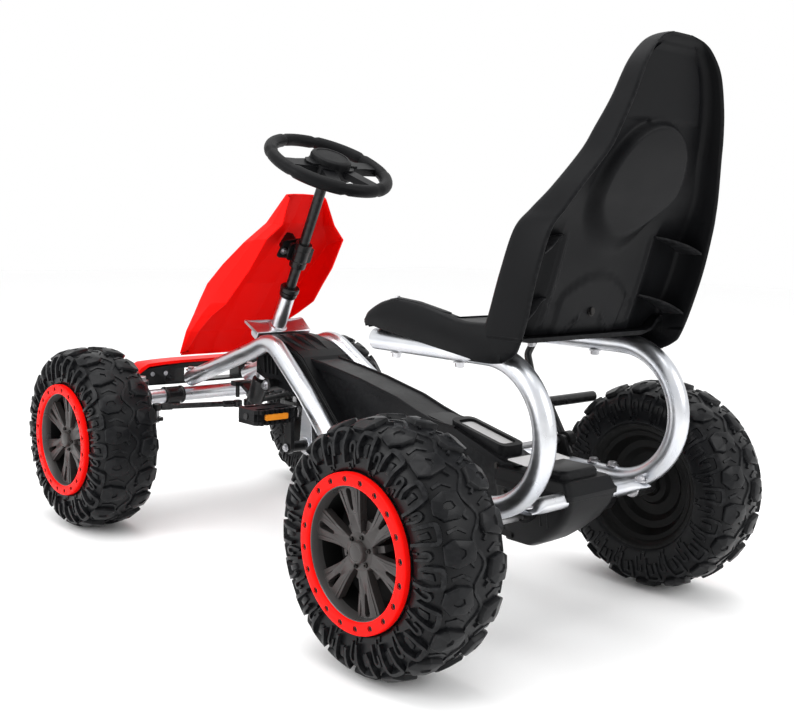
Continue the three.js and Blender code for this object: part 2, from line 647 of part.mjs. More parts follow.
add('chainring', turned(
  washer(axleRadius + fitGap, crankPitch - chainHalf - fitGap, -2.5, 2.5), 0, crankY, crankZ, crankTeeth * 2), 'steel');
const pedal = (side) => {
  const x0 = crankArmX + crankArmThick + 2;
  const z = crankZ + side * crankArm;
  const block = cut(
    box(x0, x0 + pedalLength, crankY - 28, crankY + 28, z - 11, z + 11),
    rod(vec(x0 - 5, crankY, z), vec(x0 + pedalLength + 10, crankY, z), spindleRadius + turnGap, 16),
  );
  return side > 0 ? block : mirrorX(block);
};
add('left_pedal', pedal(1), 'black');
add('right_pedal', pedal(-1), 'black');

// ---- hand brake on the right --------------------------------------------
const leverX = -151;
const barReach = wheelRadius + brakeBarRadius + brakeGap;
const barAngle = THREE.MathUtils.degToRad(137);
const barY = rearAxleY + barReach * Math.cos(barAngle);
const barZ = axleHeight + barReach * Math.sin(barAngle);
add('brake_pivot_rod', rod(vec(-coverHalf - fitGap, brakePivotY, brakePivotZ), vec(-164, brakePivotY, brakePivotZ), 5), 'steel');
add('brake_bracket', cut(
  plateYZ([[brakePivotY - 24, lowTubeZ + 10], [brakePivotY + 24, lowTubeZ + 10], [brakePivotY + 10, brakePivotZ + 8],
    [brakePivotY, brakePivotZ + 12], [brakePivotY - 10, brakePivotZ + 8]], -seatTubeX - 3, -seatTubeX + 3),
  rod(vec(-180, brakePivotY, brakePivotZ), vec(-60, brakePivotY, brakePivotZ), 5 + fitGap),
  mirrorX(bentTube(frameTubePath(), tubeRadius + fitGap, 64, 12)),
), 'steel');
const leverPath = bentPath([
  vec(leverX, brakePivotY + 8, brakePivotZ - 20), vec(leverX, barY, barZ), vec(leverX - 4, barY - 14, barZ + 30),
  vec(-184, rearAxleY - 153, 352), vec(-184, rearAxleY - 165, 392),
], 30);
add('brake_lever', cut(
  joined(
    bentTube(leverPath, 6, 24, 8),
    rod(vec(leverX - 6, brakePivotY, brakePivotZ), vec(leverX + 4, brakePivotY, brakePivotZ), 12, 16),
    rod(vec(leverX, barY, barZ), vec(-256, barY, barZ), brakeBarRadius, 16),
  ),
  rod(vec(-190, brakePivotY, brakePivotZ), vec(-100, brakePivotY, brakePivotZ), 5 + turnGap, 16),
), 'black');
const gripFrom = vec(-184, rearAxleY - 165.1, 392.4);
add('brake_grip', rod(gripFrom, vec(-184, rearAxleY - 194, 489), 12, 16), 'black');

export default group;
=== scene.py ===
from math import acos, atan2, cos, degrees, exp, hypot, pi, radians, sin, tan

import bmesh
import bpy
import numpy as np
from mathutils import Matrix, Vector
from mathutils.geometry import tessellate_polygon


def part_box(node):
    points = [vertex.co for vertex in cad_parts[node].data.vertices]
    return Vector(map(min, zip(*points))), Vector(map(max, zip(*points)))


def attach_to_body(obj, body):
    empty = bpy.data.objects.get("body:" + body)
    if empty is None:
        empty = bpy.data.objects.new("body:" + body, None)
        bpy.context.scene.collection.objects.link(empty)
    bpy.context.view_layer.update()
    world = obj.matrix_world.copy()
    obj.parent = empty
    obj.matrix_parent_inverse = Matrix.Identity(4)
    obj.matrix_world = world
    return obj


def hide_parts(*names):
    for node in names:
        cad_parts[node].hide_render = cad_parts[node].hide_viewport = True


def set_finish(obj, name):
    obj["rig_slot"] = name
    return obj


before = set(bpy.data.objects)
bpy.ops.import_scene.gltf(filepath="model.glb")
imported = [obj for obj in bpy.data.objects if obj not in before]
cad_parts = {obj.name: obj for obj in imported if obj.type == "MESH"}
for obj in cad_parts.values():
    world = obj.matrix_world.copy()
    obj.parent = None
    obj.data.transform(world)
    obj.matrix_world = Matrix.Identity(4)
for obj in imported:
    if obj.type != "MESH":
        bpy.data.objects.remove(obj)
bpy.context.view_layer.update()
print("frame loaded:", len(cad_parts), "nodes")

mm = 0.001
bothSides = (-1, 1)
scene = bpy.context.scene
scene.view_settings.view_transform = "Standard"


# working shapes are (points in mm, faces) until they are made into meshes
def boxOf(node):
    low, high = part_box(node)
    return np.array(low) / mm, np.array(high) / mm


def centreOf(node):
    return sum(boxOf(node)) / 2


def unitRows(rows):
    rows = np.array(rows, float)
    return rows / np.linalg.norm(rows, axis=-1)[..., None]


def runLength(line):
    return np.concatenate([[0], np.cumsum(np.linalg.norm(np.diff(line, axis=0), axis=1))])


def joinShapes(*shapes):
    points, faces, start = [], [], 0
    for shapePoints, shapeFaces in shapes:
        points.append(np.asarray(shapePoints, float).reshape(-1, 3))
        faces += [[i + start for i in face] for face in shapeFaces]
        start += len(shapePoints)
    return np.vstack(points), faces


def moved(shape, offset):
    return np.asarray(shape[0]) + np.array(offset), shape[1]


def sloped(shape, start, rate):
    # falls by the rate behind the start
    points = shape[0].copy()
    points[:, 2] -= (points[:, 1] - start) * rate
    return points, shape[1]


def placed(shape, origin, *axes):
    # local x, y, z along the three axes, from origin
    return np.asarray(shape[0]) @ np.array(axes, float) + np.array(origin, float), shape[1]


def turnedAboutX(shape, angle):
    return np.asarray(shape[0]) @ np.array(Matrix.Rotation(radians(angle), 3, "X")).T, shape[1]


def mirrored(shape):
    return np.asarray(shape[0]) * [-1, 1, 1], [list(reversed(face)) for face in shape[1]]


def both(shape):
    return joinShapes(shape, mirrored(shape))


def flipped(points):
    return [(-x, y) for x, y in points[::-1]]


def smoothLine(points, count):
    # evenly parameterised Catmull-Rom through the points
    points = np.array(points, float)
    last = len(points) - 1
    result = []
    for t in np.linspace(0, last, count):
        i = min(int(t), last - 1)
        f = t - i
        a, b, c, d = (points[min(max(k, 0), last)] for k in range(i - 1, i + 3))
        result.append(0.5 * (2 * b + (c - a) * f + (2 * a - 5 * b + 4 * c - d) * f * f
                             + (3 * b - a - 3 * c + d) * f ** 3))
    return np.array(result)


def bentPath(corners, radius, steps=10):
    corners = [np.array(c, float) for c in corners]
    path = [corners[0]]
    for before, at, after in zip(corners, corners[1:], corners[2:]):
        inLength, outLength = np.linalg.norm(at - before), np.linalg.norm(after - at)
        inward, outward = (at - before) / inLength, (after - at) / outLength
        angle = acos(max(-1, min(1, float(inward @ outward))))
        if angle < 0.01:
            path.append(at)
            continue
        trim = min(radius * tan(angle / 2), 0.48 * min(inLength, outLength))
        start, end = at - inward * trim, at + outward * trim
        for k in range(steps + 1):
            f = k / steps
            path.append((1 - f) ** 2 * start + 2 * f * (1 - f) * at + f * f * end)
    return np.array(path + [corners[-1]])


def loft(loops, closeEnds=True, closed=True):
    n = len(loops[0])
    faces = []
    for k in range(len(loops) - 1):
        for i in range(n if closed else n - 1):
            j = (i + 1) % n
            faces.append([k * n + i, k * n + j, (k + 1) * n + j, (k + 1) * n + i])
    if closeEnds:
        faces.append(list(range(n))[::-1])
        faces.append([(len(loops) - 1) * n + i for i in range(n)])
    return np.vstack(loops).astype(float), faces


def squareTo(axis, guide=None):
    if guide is None:
        guide = [0, 0, 1] if abs(axis[2]) < 0.9 else [0, 1, 0]
    return unitRows(np.cross(axis, guide))


def roundSection(sides):
    angles = np.linspace(0, 2 * pi, sides, endpoint=False)
    return np.stack([np.cos(angles), np.sin(angles)], 1)


def sweep(path, radius, sides=16, closedPath=False, up=None):
    # a round section carried along a path without twist
    path = np.asarray(path, float)
    radii = np.broadcast_to(radius, len(path))
    if closedPath:
        tangents = unitRows(np.roll(path, -1, 0) - np.roll(path, 1, 0))
    else:
        tangents = unitRows(np.gradient(path, axis=0))
    side = squareTo(tangents[0], up)
    loops = []
    for place, tangent, r in zip(path, tangents, radii):
        side = unitRows(side - tangent * (side @ tangent))
        grown = roundSection(sides) * r
        loops.append(place + grown[:, :1] * side + grown[:, 1:] * np.cross(side, tangent))
    return loft(loops + [loops[0]], closeEnds=False) if closedPath else loft(loops)


def lathe(profile, sides=64, closed=False):
    # (x, r) points turned about the X axis
    loops = [np.column_stack([np.full(sides, x), r * roundSection(sides)]) for x, r in profile]
    return loft(loops + [loops[0]], closeEnds=False) if closed else loft(loops)


def latheAlong(profile, origin, axis, sides=48):
    axis = unitRows(axis)
    side = squareTo(axis)
    return placed(lathe(profile, sides), origin, axis, side, np.cross(axis, side))


def rod(start, end, radius, sides=24, chamfer=0.0):
    along = np.array(end, float) - np.array(start, float)
    length = np.linalg.norm(along)
    cuts = [(chamfer, radius), (length - chamfer, radius)]
    if chamfer:
        cuts = [(0, radius - chamfer), *cuts, (length, radius - chamfer)]
    return latheAlong(cuts, start, along, sides)


def plate(outline, low, high, holes=(), axes="xy"):
    # a flat polygon with holes between two heights; axes says which way it lies
    rings = [np.asarray(o, float) for o in [outline, *holes]]
    flat = np.vstack(rings)
    triangles = tessellate_polygon([[Vector((u, v, 0)) for u, v in ring] for ring in rings])
    n = len(flat)
    points = np.vstack([np.column_stack([flat, np.full(n, z)]) for z in (low, high)])
    faces = [[a, c, b] for a, b, c in triangles] + [[a + n, b + n, c + n] for a, b, c in triangles]
    start = 0
    for ring in rings:
        m = len(ring)
        for i in range(m):
            a, b = start + i, start + (i + 1) % m
            faces.append([a, b, b + n, a + n])
        start += m
    return points[:, {"xy": [0, 1, 2], "yz": [2, 0, 1], "xz": [0, 2, 1]}[axes]], faces


def sidePlate(s, outline, near, far, holes=()):
    # a plate seen from the side, between two distances from the middle
    return plate(outline, *sorted((s * near, s * far)), holes, "yz")


def roundPlate(outline, corner, steps, low, high, holes=(), axes="xy"):
    return plate(roundCorners(outline, corner, steps), low, high, holes, axes)


def block(low, high):
    (x0, y0, z0), (x1, y1, z1) = low, high
    return plate([(x0, y0), (x1, y0), (x1, y1), (x0, y1)], z0, z1)


def arc(radius, angles, centre=(0, 0), s=1):
    return [(centre[0] + radius * cos(radians(a)), centre[1] + s * radius * sin(radians(a))) for a in angles]


def circle(radius, steps=24, centre=(0, 0)):
    return arc(radius, [360 * k / steps for k in range(steps)], centre)


def roundRect(width, height, radius, steps=5, centre=(0, 0)):
    points = []
    for cx, cy, a in ((1, 1, 0), (-1, 1, 90), (-1, -1, 180), (1, -1, 270)):
        middle = (centre[0] + cx * (width / 2 - radius), centre[1] + cy * (height / 2 - radius))
        points += arc(radius, [a + 90 * k / steps for k in range(steps + 1)], middle)
    return points


def roundCorners(points, radius, steps=4):
    flat = [np.array([*p, 0.0]) for p in points]
    ring = []
    for before, at, after in zip(flat[-1:] + flat, flat, flat[1:] + flat[:1]):
        ring += [tuple(p[:2]) for p in bentPath([(before + at) / 2, at, (at + after) / 2], radius, steps)[1:-1]]
    return ring


def makeMesh(name, shape, sharp=32.0):
    mesh = bpy.data.meshes.new(name)
    mesh.from_pydata([tuple(p) for p in np.asarray(shape[0]) * mm], [], shape[1])
    work = bmesh.new()
    work.from_mesh(mesh)
    bmesh.ops.remove_doubles(work, verts=work.verts, dist=0.01 * mm)
    bmesh.ops.dissolve_degenerate(work, edges=work.edges, dist=0.002 * mm)
    bmesh.ops.recalc_face_normals(work, faces=work.faces)
    work.to_mesh(mesh)
    work.free()
    for face in mesh.polygons:
        face.use_smooth = True
    mesh.set_sharp_from_angle(angle=radians(sharp))
    return mesh


def addObject(name, data):
    obj = bpy.data.objects.new(name, data)
    scene.collection.objects.link(obj)
    return obj


def attach(obj, look, nodes, body, slot):
    usualSlot, finish = looks[look]
    obj.data.materials.clear()
    obj.data.materials.append(finish)
    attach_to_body(obj, body)
    if nodes:
        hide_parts(*nodes)
    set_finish(obj, slot or usualSlot)


def piece(name, shape, look, nodes=(), body="frame", slot=None, bevel=0.0, sharp=32.0, segments=2):
    obj = addObject(name, makeMesh(name, shape, sharp))
    if bevel:
        edge = obj.modifiers.new("softEdge", "BEVEL")
        edge.width = bevel * mm
        edge.segments = segments
        edge.limit_method = "ANGLE"
        edge.angle_limit = radians(sharp)
        edge.harden_normals = False
        edge.miter_outer = "MITER_ARC"
    attach(obj, look, nodes, body, slot)


# node trees: links for sockets, plain values for the rest
def addNode(tree, kind, inputs=None, **settings):
    node = tree.nodes.new(kind)
    for key, value in settings.items():
        setattr(node, key, value)
    for key, value in (inputs or {}).items():
        if isinstance(value, bpy.types.NodeSocket):
            tree.links.new(value, node.inputs[key])
        else:
            node.inputs[key].default_value = value
    return node


def newTree(name, kind, inputs, outputs):
    tree = bpy.data.node_groups.new(name, kind + "NodeTree")
    ids = {}
    for label, socketKind, value in inputs:
        socket = tree.interface.new_socket(label, in_out="INPUT", socket_type="NodeSocket" + socketKind)
        if value is not None:
            socket.default_value = value
        ids[label] = socket.identifier
    for label, socketKind in outputs:
        tree.interface.new_socket(label, in_out="OUTPUT", socket_type="NodeSocket" + socketKind)
    return tree, tree.nodes.new("NodeGroupInput").outputs, tree.nodes.new("NodeGroupOutput").inputs, ids


def maskGroup(name, inputs, outputs):
    inputs = [(label, "Float", value) for label, value in inputs.items()]
    tree, given, result, _ = newTree(name, "Shader", inputs, [(label, "Float") for label in outputs])
    return tree, given, result, tree.nodes.new("ShaderNodeTexCoord").outputs["Object"]


def mathNode(tree, operation, a, b, clamp=False):
    return addNode(tree, "ShaderNodeMath", {0: a, 1: b}, operation=operation, use_clamp=clamp).outputs[0]


def noise(tree, vector, scale, detail=3.0, roughness=0.55):
    values = {"Vector": vector, "Scale": scale, "Detail": detail, "Roughness": roughness}
    return addNode(tree, "ShaderNodeTexNoise", values).outputs["Fac"]


def ramp(tree, value, low, high, toLow=0.0, toHigh=1.0):
    values = {"Value": value, "From Min": low, "From Max": high, "To Min": toLow, "To Max": toHigh}
    return addNode(tree, "ShaderNodeMapRange", values, interpolation_type="SMOOTHSTEP").outputs["Result"]


def product(tree, a, b, c):
    return mathNode(tree, "MULTIPLY", mathNode(tree, "MULTIPLY", a, b), c, True)


# moulded grain: fine pebbles for bump, slow mottling for colour and gloss
grainGroup, given, result, coords = maskGroup("mouldedGrain", {"Grain Scale": 900.0, "Mottle Scale": 14.0},
                                              ["Height", "Mottle"])
pebbles = addNode(grainGroup, "ShaderNodeTexVoronoi", {"Vector": coords, "Scale": given["Grain Scale"]})
fine = noise(grainGroup, coords, mathNode(grainGroup, "MULTIPLY", given["Grain Scale"], 0.55))
grainGroup.links.new(mathNode(grainGroup, "ADD", pebbles.outputs["Distance"], fine), result["Height"])
grainGroup.links.new(noise(grainGroup, coords, given["Mottle Scale"], 4.0), result["Mottle"])

# dust lies on faces that look up, in patches, and scuffs catch the raised edges
dustGroup, given, result, coords = maskGroup("dustAndScuff", {"Dust": 0.3, "Scuff": 0.3}, ["Dust", "Scuff"])
geometry = addNode(dustGroup, "ShaderNodeNewGeometry").outputs
facing = addNode(dustGroup, "ShaderNodeSeparateXYZ", {0: geometry["Normal"]})
upward = ramp(dustGroup, facing.outputs["Z"], 0.1, 1.0)
patches = ramp(dustGroup, noise(dustGroup, coords, 38.0, 6.0, 0.65), 0.42, 0.72)
dustGroup.links.new(product(dustGroup, upward, patches, given["Dust"]), result["Dust"])
edges = ramp(dustGroup, geometry["Pointiness"], 0.52, 0.6)
broken = ramp(dustGroup, noise(dustGroup, coords, 160.0, 4.0, 0.6), 0.4, 0.62)
dustGroup.links.new(product(dustGroup, edges, broken, given["Scuff"]), result["Scuff"])

# drawn metal: long faint streaks and a cloudy bloom
drawnGroup, given, result, coords = maskGroup("drawnMetal", {"Streak Scale": 260.0, "Bloom Scale": 22.0},
                                              ["Streak", "Bloom"])
stretch = addNode(drawnGroup, "ShaderNodeMapping", {"Vector": coords, "Scale": (1.0, 0.06, 1.0)}).outputs[0]
drawnGroup.links.new(noise(drawnGroup, stretch, given["Streak Scale"], 2.0), result["Streak"])
drawnGroup.links.new(noise(drawnGroup, coords, given["Bloom Scale"], 2.0, 0.5), result["Bloom"])


def mixColour(tree, factor, a, b):
    a, b = ((*value, 1.0) if isinstance(value, tuple) else value for value in (a, b))
    return addNode(tree, "ShaderNodeMix", {0: factor, 6: a, 7: b}, data_type="RGBA").outputs[2]


def startFinish(name):
    material = bpy.data.materials.new(name)
    material.use_nodes = True
    tree = material.node_tree
    return material, tree, tree.nodes["Principled BSDF"].inputs


def endFinish(tree, shader, base, gloss, dust, haze, height, depth):
    # dust dulls the gloss, and a finish with depth gets a bump
    gloss = mathNode(tree, "ADD", gloss, mathNode(tree, "MULTIPLY", dust, haze), True)
    tree.links.new(base, shader["Base Color"])
    tree.links.new(gloss, shader["Roughness"])
    if depth > 0:
        bump = addNode(tree, "ShaderNodeBump", {"Distance": depth * mm, "Strength": 1.0, "Height": height})
        tree.links.new(bump.outputs["Normal"], shader["Normal"])


def plasticFinish(name, colour, lighter, roughness, grain, depth, dust, scuff, dustColour,
                  specular=0.5, coat=0.0, mottle=14.0):
    material, tree, shader = startFinish(name)
    grains = addNode(tree, "ShaderNodeGroup", {"Grain Scale": grain, "Mottle Scale": mottle},
                     node_tree=grainGroup).outputs
    marks = addNode(tree, "ShaderNodeGroup", {"Dust": dust, "Scuff": scuff}, node_tree=dustGroup).outputs
    base = mixColour(tree, grains["Mottle"], colour, lighter)
    base = mixColour(tree, marks["Scuff"], base, tuple(min(1, c * 2.2 + 0.03) for c in lighter))
    base = mixColour(tree, marks["Dust"], base, dustColour)
    gloss = ramp(tree, grains["Mottle"], 0.2, 0.8, roughness - 0.06, roughness + 0.07)
    endFinish(tree, shader, base, gloss, marks["Dust"], 0.3, grains["Height"], depth)
    for label, value in (("Specular IOR Level", specular), ("Coat Weight", coat), ("Coat Roughness", 0.15)):
        shader[label].default_value = value
    return material


def metalFinish(name, colour, other, roughness, streak, depth, dust=0.08):
    material, tree, shader = startFinish(name)
    drawn = addNode(tree, "ShaderNodeGroup", {"Streak Scale": streak}, node_tree=drawnGroup).outputs
    marks = addNode(tree, "ShaderNodeGroup", {"Dust": dust, "Scuff": 0.2}, node_tree=dustGroup).outputs
    base = mixColour(tree, ramp(tree, drawn["Bloom"], 0.3, 0.7), colour, other)
    base = mixColour(tree, marks["Dust"], base, (0.3, 0.29, 0.28))
    gloss = ramp(tree, drawn["Streak"], 0.25, 0.75, roughness - 0.03, roughness + 0.05)
    endFinish(tree, shader, base, gloss, marks["Dust"], 0.35, drawn["Streak"], depth)
    shader["Metallic"].default_value = 1.0
    return material


# each look: its usual slot, then name, two colours, roughness, grain scale, grain depth and dust
metals = {
    "zinc": ("galvanised_tube", "brightZincTube", (0.66, 0.67, 0.69), (0.58, 0.60, 0.64), 0.30, 180.0, 0.0, 0.02),
    "steel": ("plain_steel", "plainSteel", (0.5, 0.5, 0.51), (0.38, 0.38, 0.39), 0.34, 400.0, 0.002),
    "bolt": ("plain_steel", "zincBolt", (0.66, 0.66, 0.68), (0.5, 0.5, 0.52), 0.3, 700.0, 0.002),
    "darkBolt": ("black_steel", "blackenedBolt", (0.045, 0.042, 0.04), (0.03, 0.03, 0.03), 0.38, 700.0, 0.002),
    "chain": ("plain_steel", "oiledChain", (0.11, 0.105, 0.1), (0.06, 0.055, 0.05), 0.32, 700.0, 0.003),
}
# and for the plastics also scuff, dust colour, specular, coat and mottle scale
plastics = {
    "tyre": ("tyre_black", "foamTyre", (0.0030, 0.0032, 0.0038), (0.0060, 0.0064, 0.0074), 0.33, 620.0, 0.03, 0.10,
             0.22, (0.03, 0.03, 0.031), 0.14),
    "seat": ("black_plastic", "seatPlastic", (0.0028, 0.0029, 0.0033), (0.0050, 0.0052, 0.0060), 0.42, 1100.0,
             0.03, 0.08, 0.25, (0.03, 0.03, 0.032), 0.08),
    "cover": ("black_plastic", "coverPlastic", (0.0030, 0.0031, 0.0036), (0.0052, 0.0054, 0.0062), 0.36, 1000.0,
              0.03, 0.06, 0.25, (0.03, 0.03, 0.032), 0.12),
    "paint": ("black_steel", "blackPaint", (0.005, 0.005, 0.0055), (0.008, 0.008, 0.0085), 0.3, 480.0, 0.012, 0.08,
              0.3, (0.035, 0.035, 0.036), 0.20, 0.12),
    "grip": ("black_plastic", "gripRubber", (0.0035, 0.0036, 0.0040), (0.0060, 0.0062, 0.0068), 0.46, 1500.0, 0.05,
             0.06, 0.2, (0.03, 0.03, 0.031), 0.08),
    "red": ("red_plastic", "redPlastic", (0.93, 0.0035, 0.002), (0.98, 0.006, 0.004), 0.36, 1300.0, 0.015, 0.02,
            0.06, (0.80, 0.05, 0.04), 0.06, 0.0, 9.0),
    "rim": ("rim_grey", "rimPlastic", (0.026, 0.0235, 0.023), (0.040, 0.0365, 0.0355), 0.3, 900.0, 0.02, 0.06,
            0.25, (0.09, 0.085, 0.08), 0.24),
    "rimBack": ("rim_grey", "rimShade", (0.004, 0.004, 0.004), (0.007, 0.007, 0.007), 0.42, 900.0, 0.03, 0.08, 0.2,
                (0.04, 0.04, 0.04), 0.10),
    "lip": ("rim_grey", "barrelLip", (0.032, 0.031, 0.031), (0.050, 0.049, 0.048), 0.3, 900.0, 0.02, 0.06, 0.2,
            (0.08, 0.08, 0.08)),
    "label": ("black_plastic", "plainLabel", (0.72, 0.71, 0.71), (0.80, 0.79, 0.79), 0.4, 600.0, 0.01, 0.05, 0.05,
              (0.6, 0.59, 0.57), 0.5, 0.0, 30.0),
    "amber": ("red_plastic", "amberReflector", (0.80, 0.22, 0.012), (0.92, 0.34, 0.03), 0.14, 300.0, 0.08, 0.0,
              0.1, (0.2, 0.19, 0.18), 0.5, 0.6, 60.0),
}
looks = {key: (slot, metalFinish(*values)) for key, (slot, *values) in metals.items()}
looks.update((key, (slot, plasticFinish(*values))) for key, (slot, *values) in plastics.items())


# trees that repeat shapes end in real instances with one material
def geometryTree(name, inputs):
    inputs = [("Geometry", "Geometry", None), *inputs, ("Finish", "Material", None)]
    return newTree(name, "Geometry", inputs, [("Geometry", "Geometry")])


def copiesInto(tree, given, result, points, copy, rotation):
    copies = addNode(tree, "GeometryNodeInstanceOnPoints", {"Points": points, "Instance": copy, "Rotation": rotation})
    real = addNode(tree, "GeometryNodeRealizeInstances", {0: copies.outputs[0]})
    done = addNode(tree, "GeometryNodeSetMaterial", {"Geometry": real.outputs[0], "Material": given["Finish"]})
    tree.links.new(done.outputs[0], result[0])


def vectorAttribute(tree, name):
    return addNode(tree, "GeometryNodeInputNamedAttribute", {"Name": name},
                   data_type="FLOAT_VECTOR").outputs["Attribute"]


# copies of the piece's own mesh around the X axis
ringTree, given, result, ringIds = geometryTree("ringRepeat", [("Count", "Int", 6), ("Start", "Float", 0.0)])
points = addNode(ringTree, "GeometryNodePoints", {"Count": given["Count"]}).outputs[0]
index = ringTree.nodes.new("GeometryNodeInputIndex").outputs[0]
step = mathNode(ringTree, "DIVIDE", 2 * pi, given["Count"])
turnAngle = mathNode(ringTree, "ADD", mathNode(ringTree, "MULTIPLY", index, step), given["Start"])
turn = addNode(ringTree, "ShaderNodeCombineXYZ", {"X": turnAngle})
rotation = addNode(ringTree, "FunctionNodeEulerToRotation", {0: turn.outputs[0]}).outputs[0]
copiesInto(ringTree, given, result, points, given["Geometry"], rotation)

# a screw head with its washer on every point, along the point's own "aim"
screwTree, given, result, screwIds = geometryTree("screwHeads", [
    ("Head Radius", "Float", 0.005), ("Head Height", "Float", 0.003), ("Washer Radius", "Float", 0.007),
    ("Washer Height", "Float", 0.001), ("Sides", "Int", 6)])


def timesScrew(value, factor):
    return mathNode(screwTree, "MULTIPLY", value, factor)


def screwCylinder(radius, height, sides, lift):
    values = {"Radius": radius, "Depth": height, "Vertices": sides}
    body = addNode(screwTree, "GeometryNodeMeshCylinder", values)
    offset = addNode(screwTree, "ShaderNodeCombineXYZ", {"Z": lift})
    values = {"Geometry": body.outputs["Mesh"], "Translation": offset.outputs[0]}
    return addNode(screwTree, "GeometryNodeTransform", values).outputs[0]


washerHeight, headHeight = given["Washer Height"], given["Head Height"]
washer = screwCylinder(given["Washer Radius"], washerHeight, 20, timesScrew(washerHeight, 0.5))
headLift = mathNode(screwTree, "ADD", washerHeight, timesScrew(headHeight, 0.5))
head = screwCylinder(given["Head Radius"], headHeight, given["Sides"], headLift)
capHeight = timesScrew(headHeight, 1.16)
capLift = mathNode(screwTree, "ADD", washerHeight, timesScrew(capHeight, 0.5))
cap = screwCylinder(timesScrew(given["Head Radius"], 0.78), capHeight, 16, capLift)
joinHead = screwTree.nodes.new("GeometryNodeJoinGeometry")
for part in (washer, head, cap):
    screwTree.links.new(part, joinHead.inputs[0])
align = addNode(screwTree, "FunctionNodeAlignRotationToVector", {"Vector": vectorAttribute(screwTree, "aim")}, axis="Z")
copiesInto(screwTree, given, result, given["Geometry"], joinHead.outputs[0], align.outputs[0])

# the unit mesh of another object on every point, turned by the point's own "turn"
copyTree, given, result, copyIds = geometryTree("copiesOnPoints", [("Copy", "Object", None)])
info = addNode(copyTree, "GeometryNodeObjectInfo", {"Object": given["Copy"]})
rotation = addNode(copyTree, "FunctionNodeEulerToRotation", {0: vectorAttribute(copyTree, "turn")}).outputs[0]
copiesInto(copyTree, given, result, given["Geometry"], info.outputs["Geometry"], rotation)


def runTree(name, mesh, tree, ids, values):
    # evaluates the tree on a mesh and gives back a plain mesh
    source = addObject(name + "Source", mesh)
    modifier = source.modifiers.new("repeat", "NODES")
    modifier.node_group = tree
    for label, value in values.items():
        modifier[ids[label]] = value
    bpy.context.view_layer.update()
    result = bpy.data.meshes.new_from_object(source.evaluated_get(bpy.context.evaluated_depsgraph_get()))
    bpy.data.objects.remove(source)
    result.name = name
    return result


def pointMesh(name, spots, attribute, vectors):
    mesh = bpy.data.meshes.new(name)
    mesh.from_pydata([tuple(np.array(p, float) * mm) for p in spots], [], [])
    data = mesh.attributes.new(attribute, "FLOAT_VECTOR", "POINT")
    data.data.foreach_set("vector", np.array(vectors, np.float32).ravel())
    return mesh


def ringOf(shape, count, start=0.0, sharp=32.0):
    mesh = runTree("ring", makeMesh("unit", shape, sharp), ringTree, ringIds,
                   {"Count": count, "Start": radians(start)})
    points = np.zeros(len(mesh.vertices) * 3)
    mesh.vertices.foreach_get("co", points)
    shape = points.reshape(-1, 3) / mm, [list(face.vertices) for face in mesh.polygons]
    bpy.data.meshes.remove(mesh)
    return shape


def screws(name, spots, look, headRadius, headHeight, washerRadius, washerHeight, sides=6, body="frame", slot=None):
    # each spot is a place and the way its screw points
    mesh = runTree(name, pointMesh(name, [s[0] for s in spots], "aim", [s[1] for s in spots]), screwTree, screwIds, {
        "Head Radius": headRadius * mm, "Head Height": headHeight * mm, "Washer Radius": washerRadius * mm,
        "Washer Height": washerHeight * mm, "Sides": sides, "Finish": looks[look][1]})
    mesh.set_sharp_from_angle(angle=radians(30))
    attach(addObject(name, mesh), look, (), body, slot)


print("finishes and node trees ready")

# places taken from the frame
_, rearY, axleZ = centreOf("rear_left_ring")
frontY = centreOf("front_left_ring")[1]
tubeR = 14.0
tubeBoxHigh = boxOf("left_frame_tube")[1]
tubeTop = tubeBoxHigh[2] - tubeR        # centre line of the seat rails
tubeLow = tubeTop - 184.0               # centre line of the low run
seatTubeX = tubeBoxHigh[0] - tubeR

# wheels
tyre = {
    "profile": [(0, 143.4), (14, 143.1), (28, 141.6), (38, 138.0), (45, 131.8), (49.2, 124.0), (50.6, 115),
                (50.4, 106), (49.6, 98), (48.2, 92.5), (44, 89.5)],
    "crown": 145.0, "lugHeight": 6.3, "toothHeight": 6.2, "innerTooth": 0.42, "repeats": 9,
}
half = smoothLine(tyre["profile"], 60)
tyreLine = np.vstack([half[::-1][:-1] * [-1, 1], half])
tyreLength = runLength(tyreLine)
tyreLength -= tyreLength[len(half) - 1]
slopes = np.gradient(tyreLine, axis=0)
tyreNormal = unitRows(np.stack([-slopes[:, 1], slopes[:, 0]], 1))


def onTyre(points, centre=(0, 0), side=1):
    # (across, around, height) to a place on the tyre's surface; around is measured at the crown
    across, around, height = np.asarray(points, float).T
    across, around = (across + centre[0]) * side, around + centre[1]
    x, r = (np.interp(across, tyreLength, tyreLine[:, k]) + height * np.interp(across, tyreLength, tyreNormal[:, k])
            for k in (0, 1))
    angle = around / tyre["crown"]
    return np.stack([x, r * np.cos(angle), r * np.sin(angle)], 1)


def lug(outline, centre, height, sipe=None, side=1):
    # a moulded block with sloping walls, a rounded top edge and a sunk mark
    outline = np.array(roundCorners(outline, 2.2, 2), float)
    n = len(outline)
    middle = outline.mean(0)
    spread = outline - middle
    length = np.linalg.norm(spread, axis=1)[:, None]
    loops = []
    for h, grow in [(-1.2, 1.6), (height - 1.3, 0.35), (height - 0.35, -0.4), (height, -1.4)]:
        loops.append(np.column_stack([middle + spread * (1 + grow / length), np.full(n, h)]))
    if sipe is not None:
        direction = spread / length
        reach = 1 / np.sqrt(((direction / np.array(sipe, float)) ** 2).sum(1))[:, None]
        loops.append(np.column_stack([middle + direction * (reach + 0.9), np.full(n, height)]))
        loops.append(np.column_stack([middle + direction * reach, np.full(n, height - 1.9)]))
    points, faces = loft(loops, closeEnds=False)
    points = np.vstack([points, [[*middle, loops[-1][0][2]]]])
    last = (len(loops) - 1) * n
    faces += [[last + i, last + (i + 1) % n, len(points) - 1] for i in range(n)]
    return onTyre(points, centre, side), faces


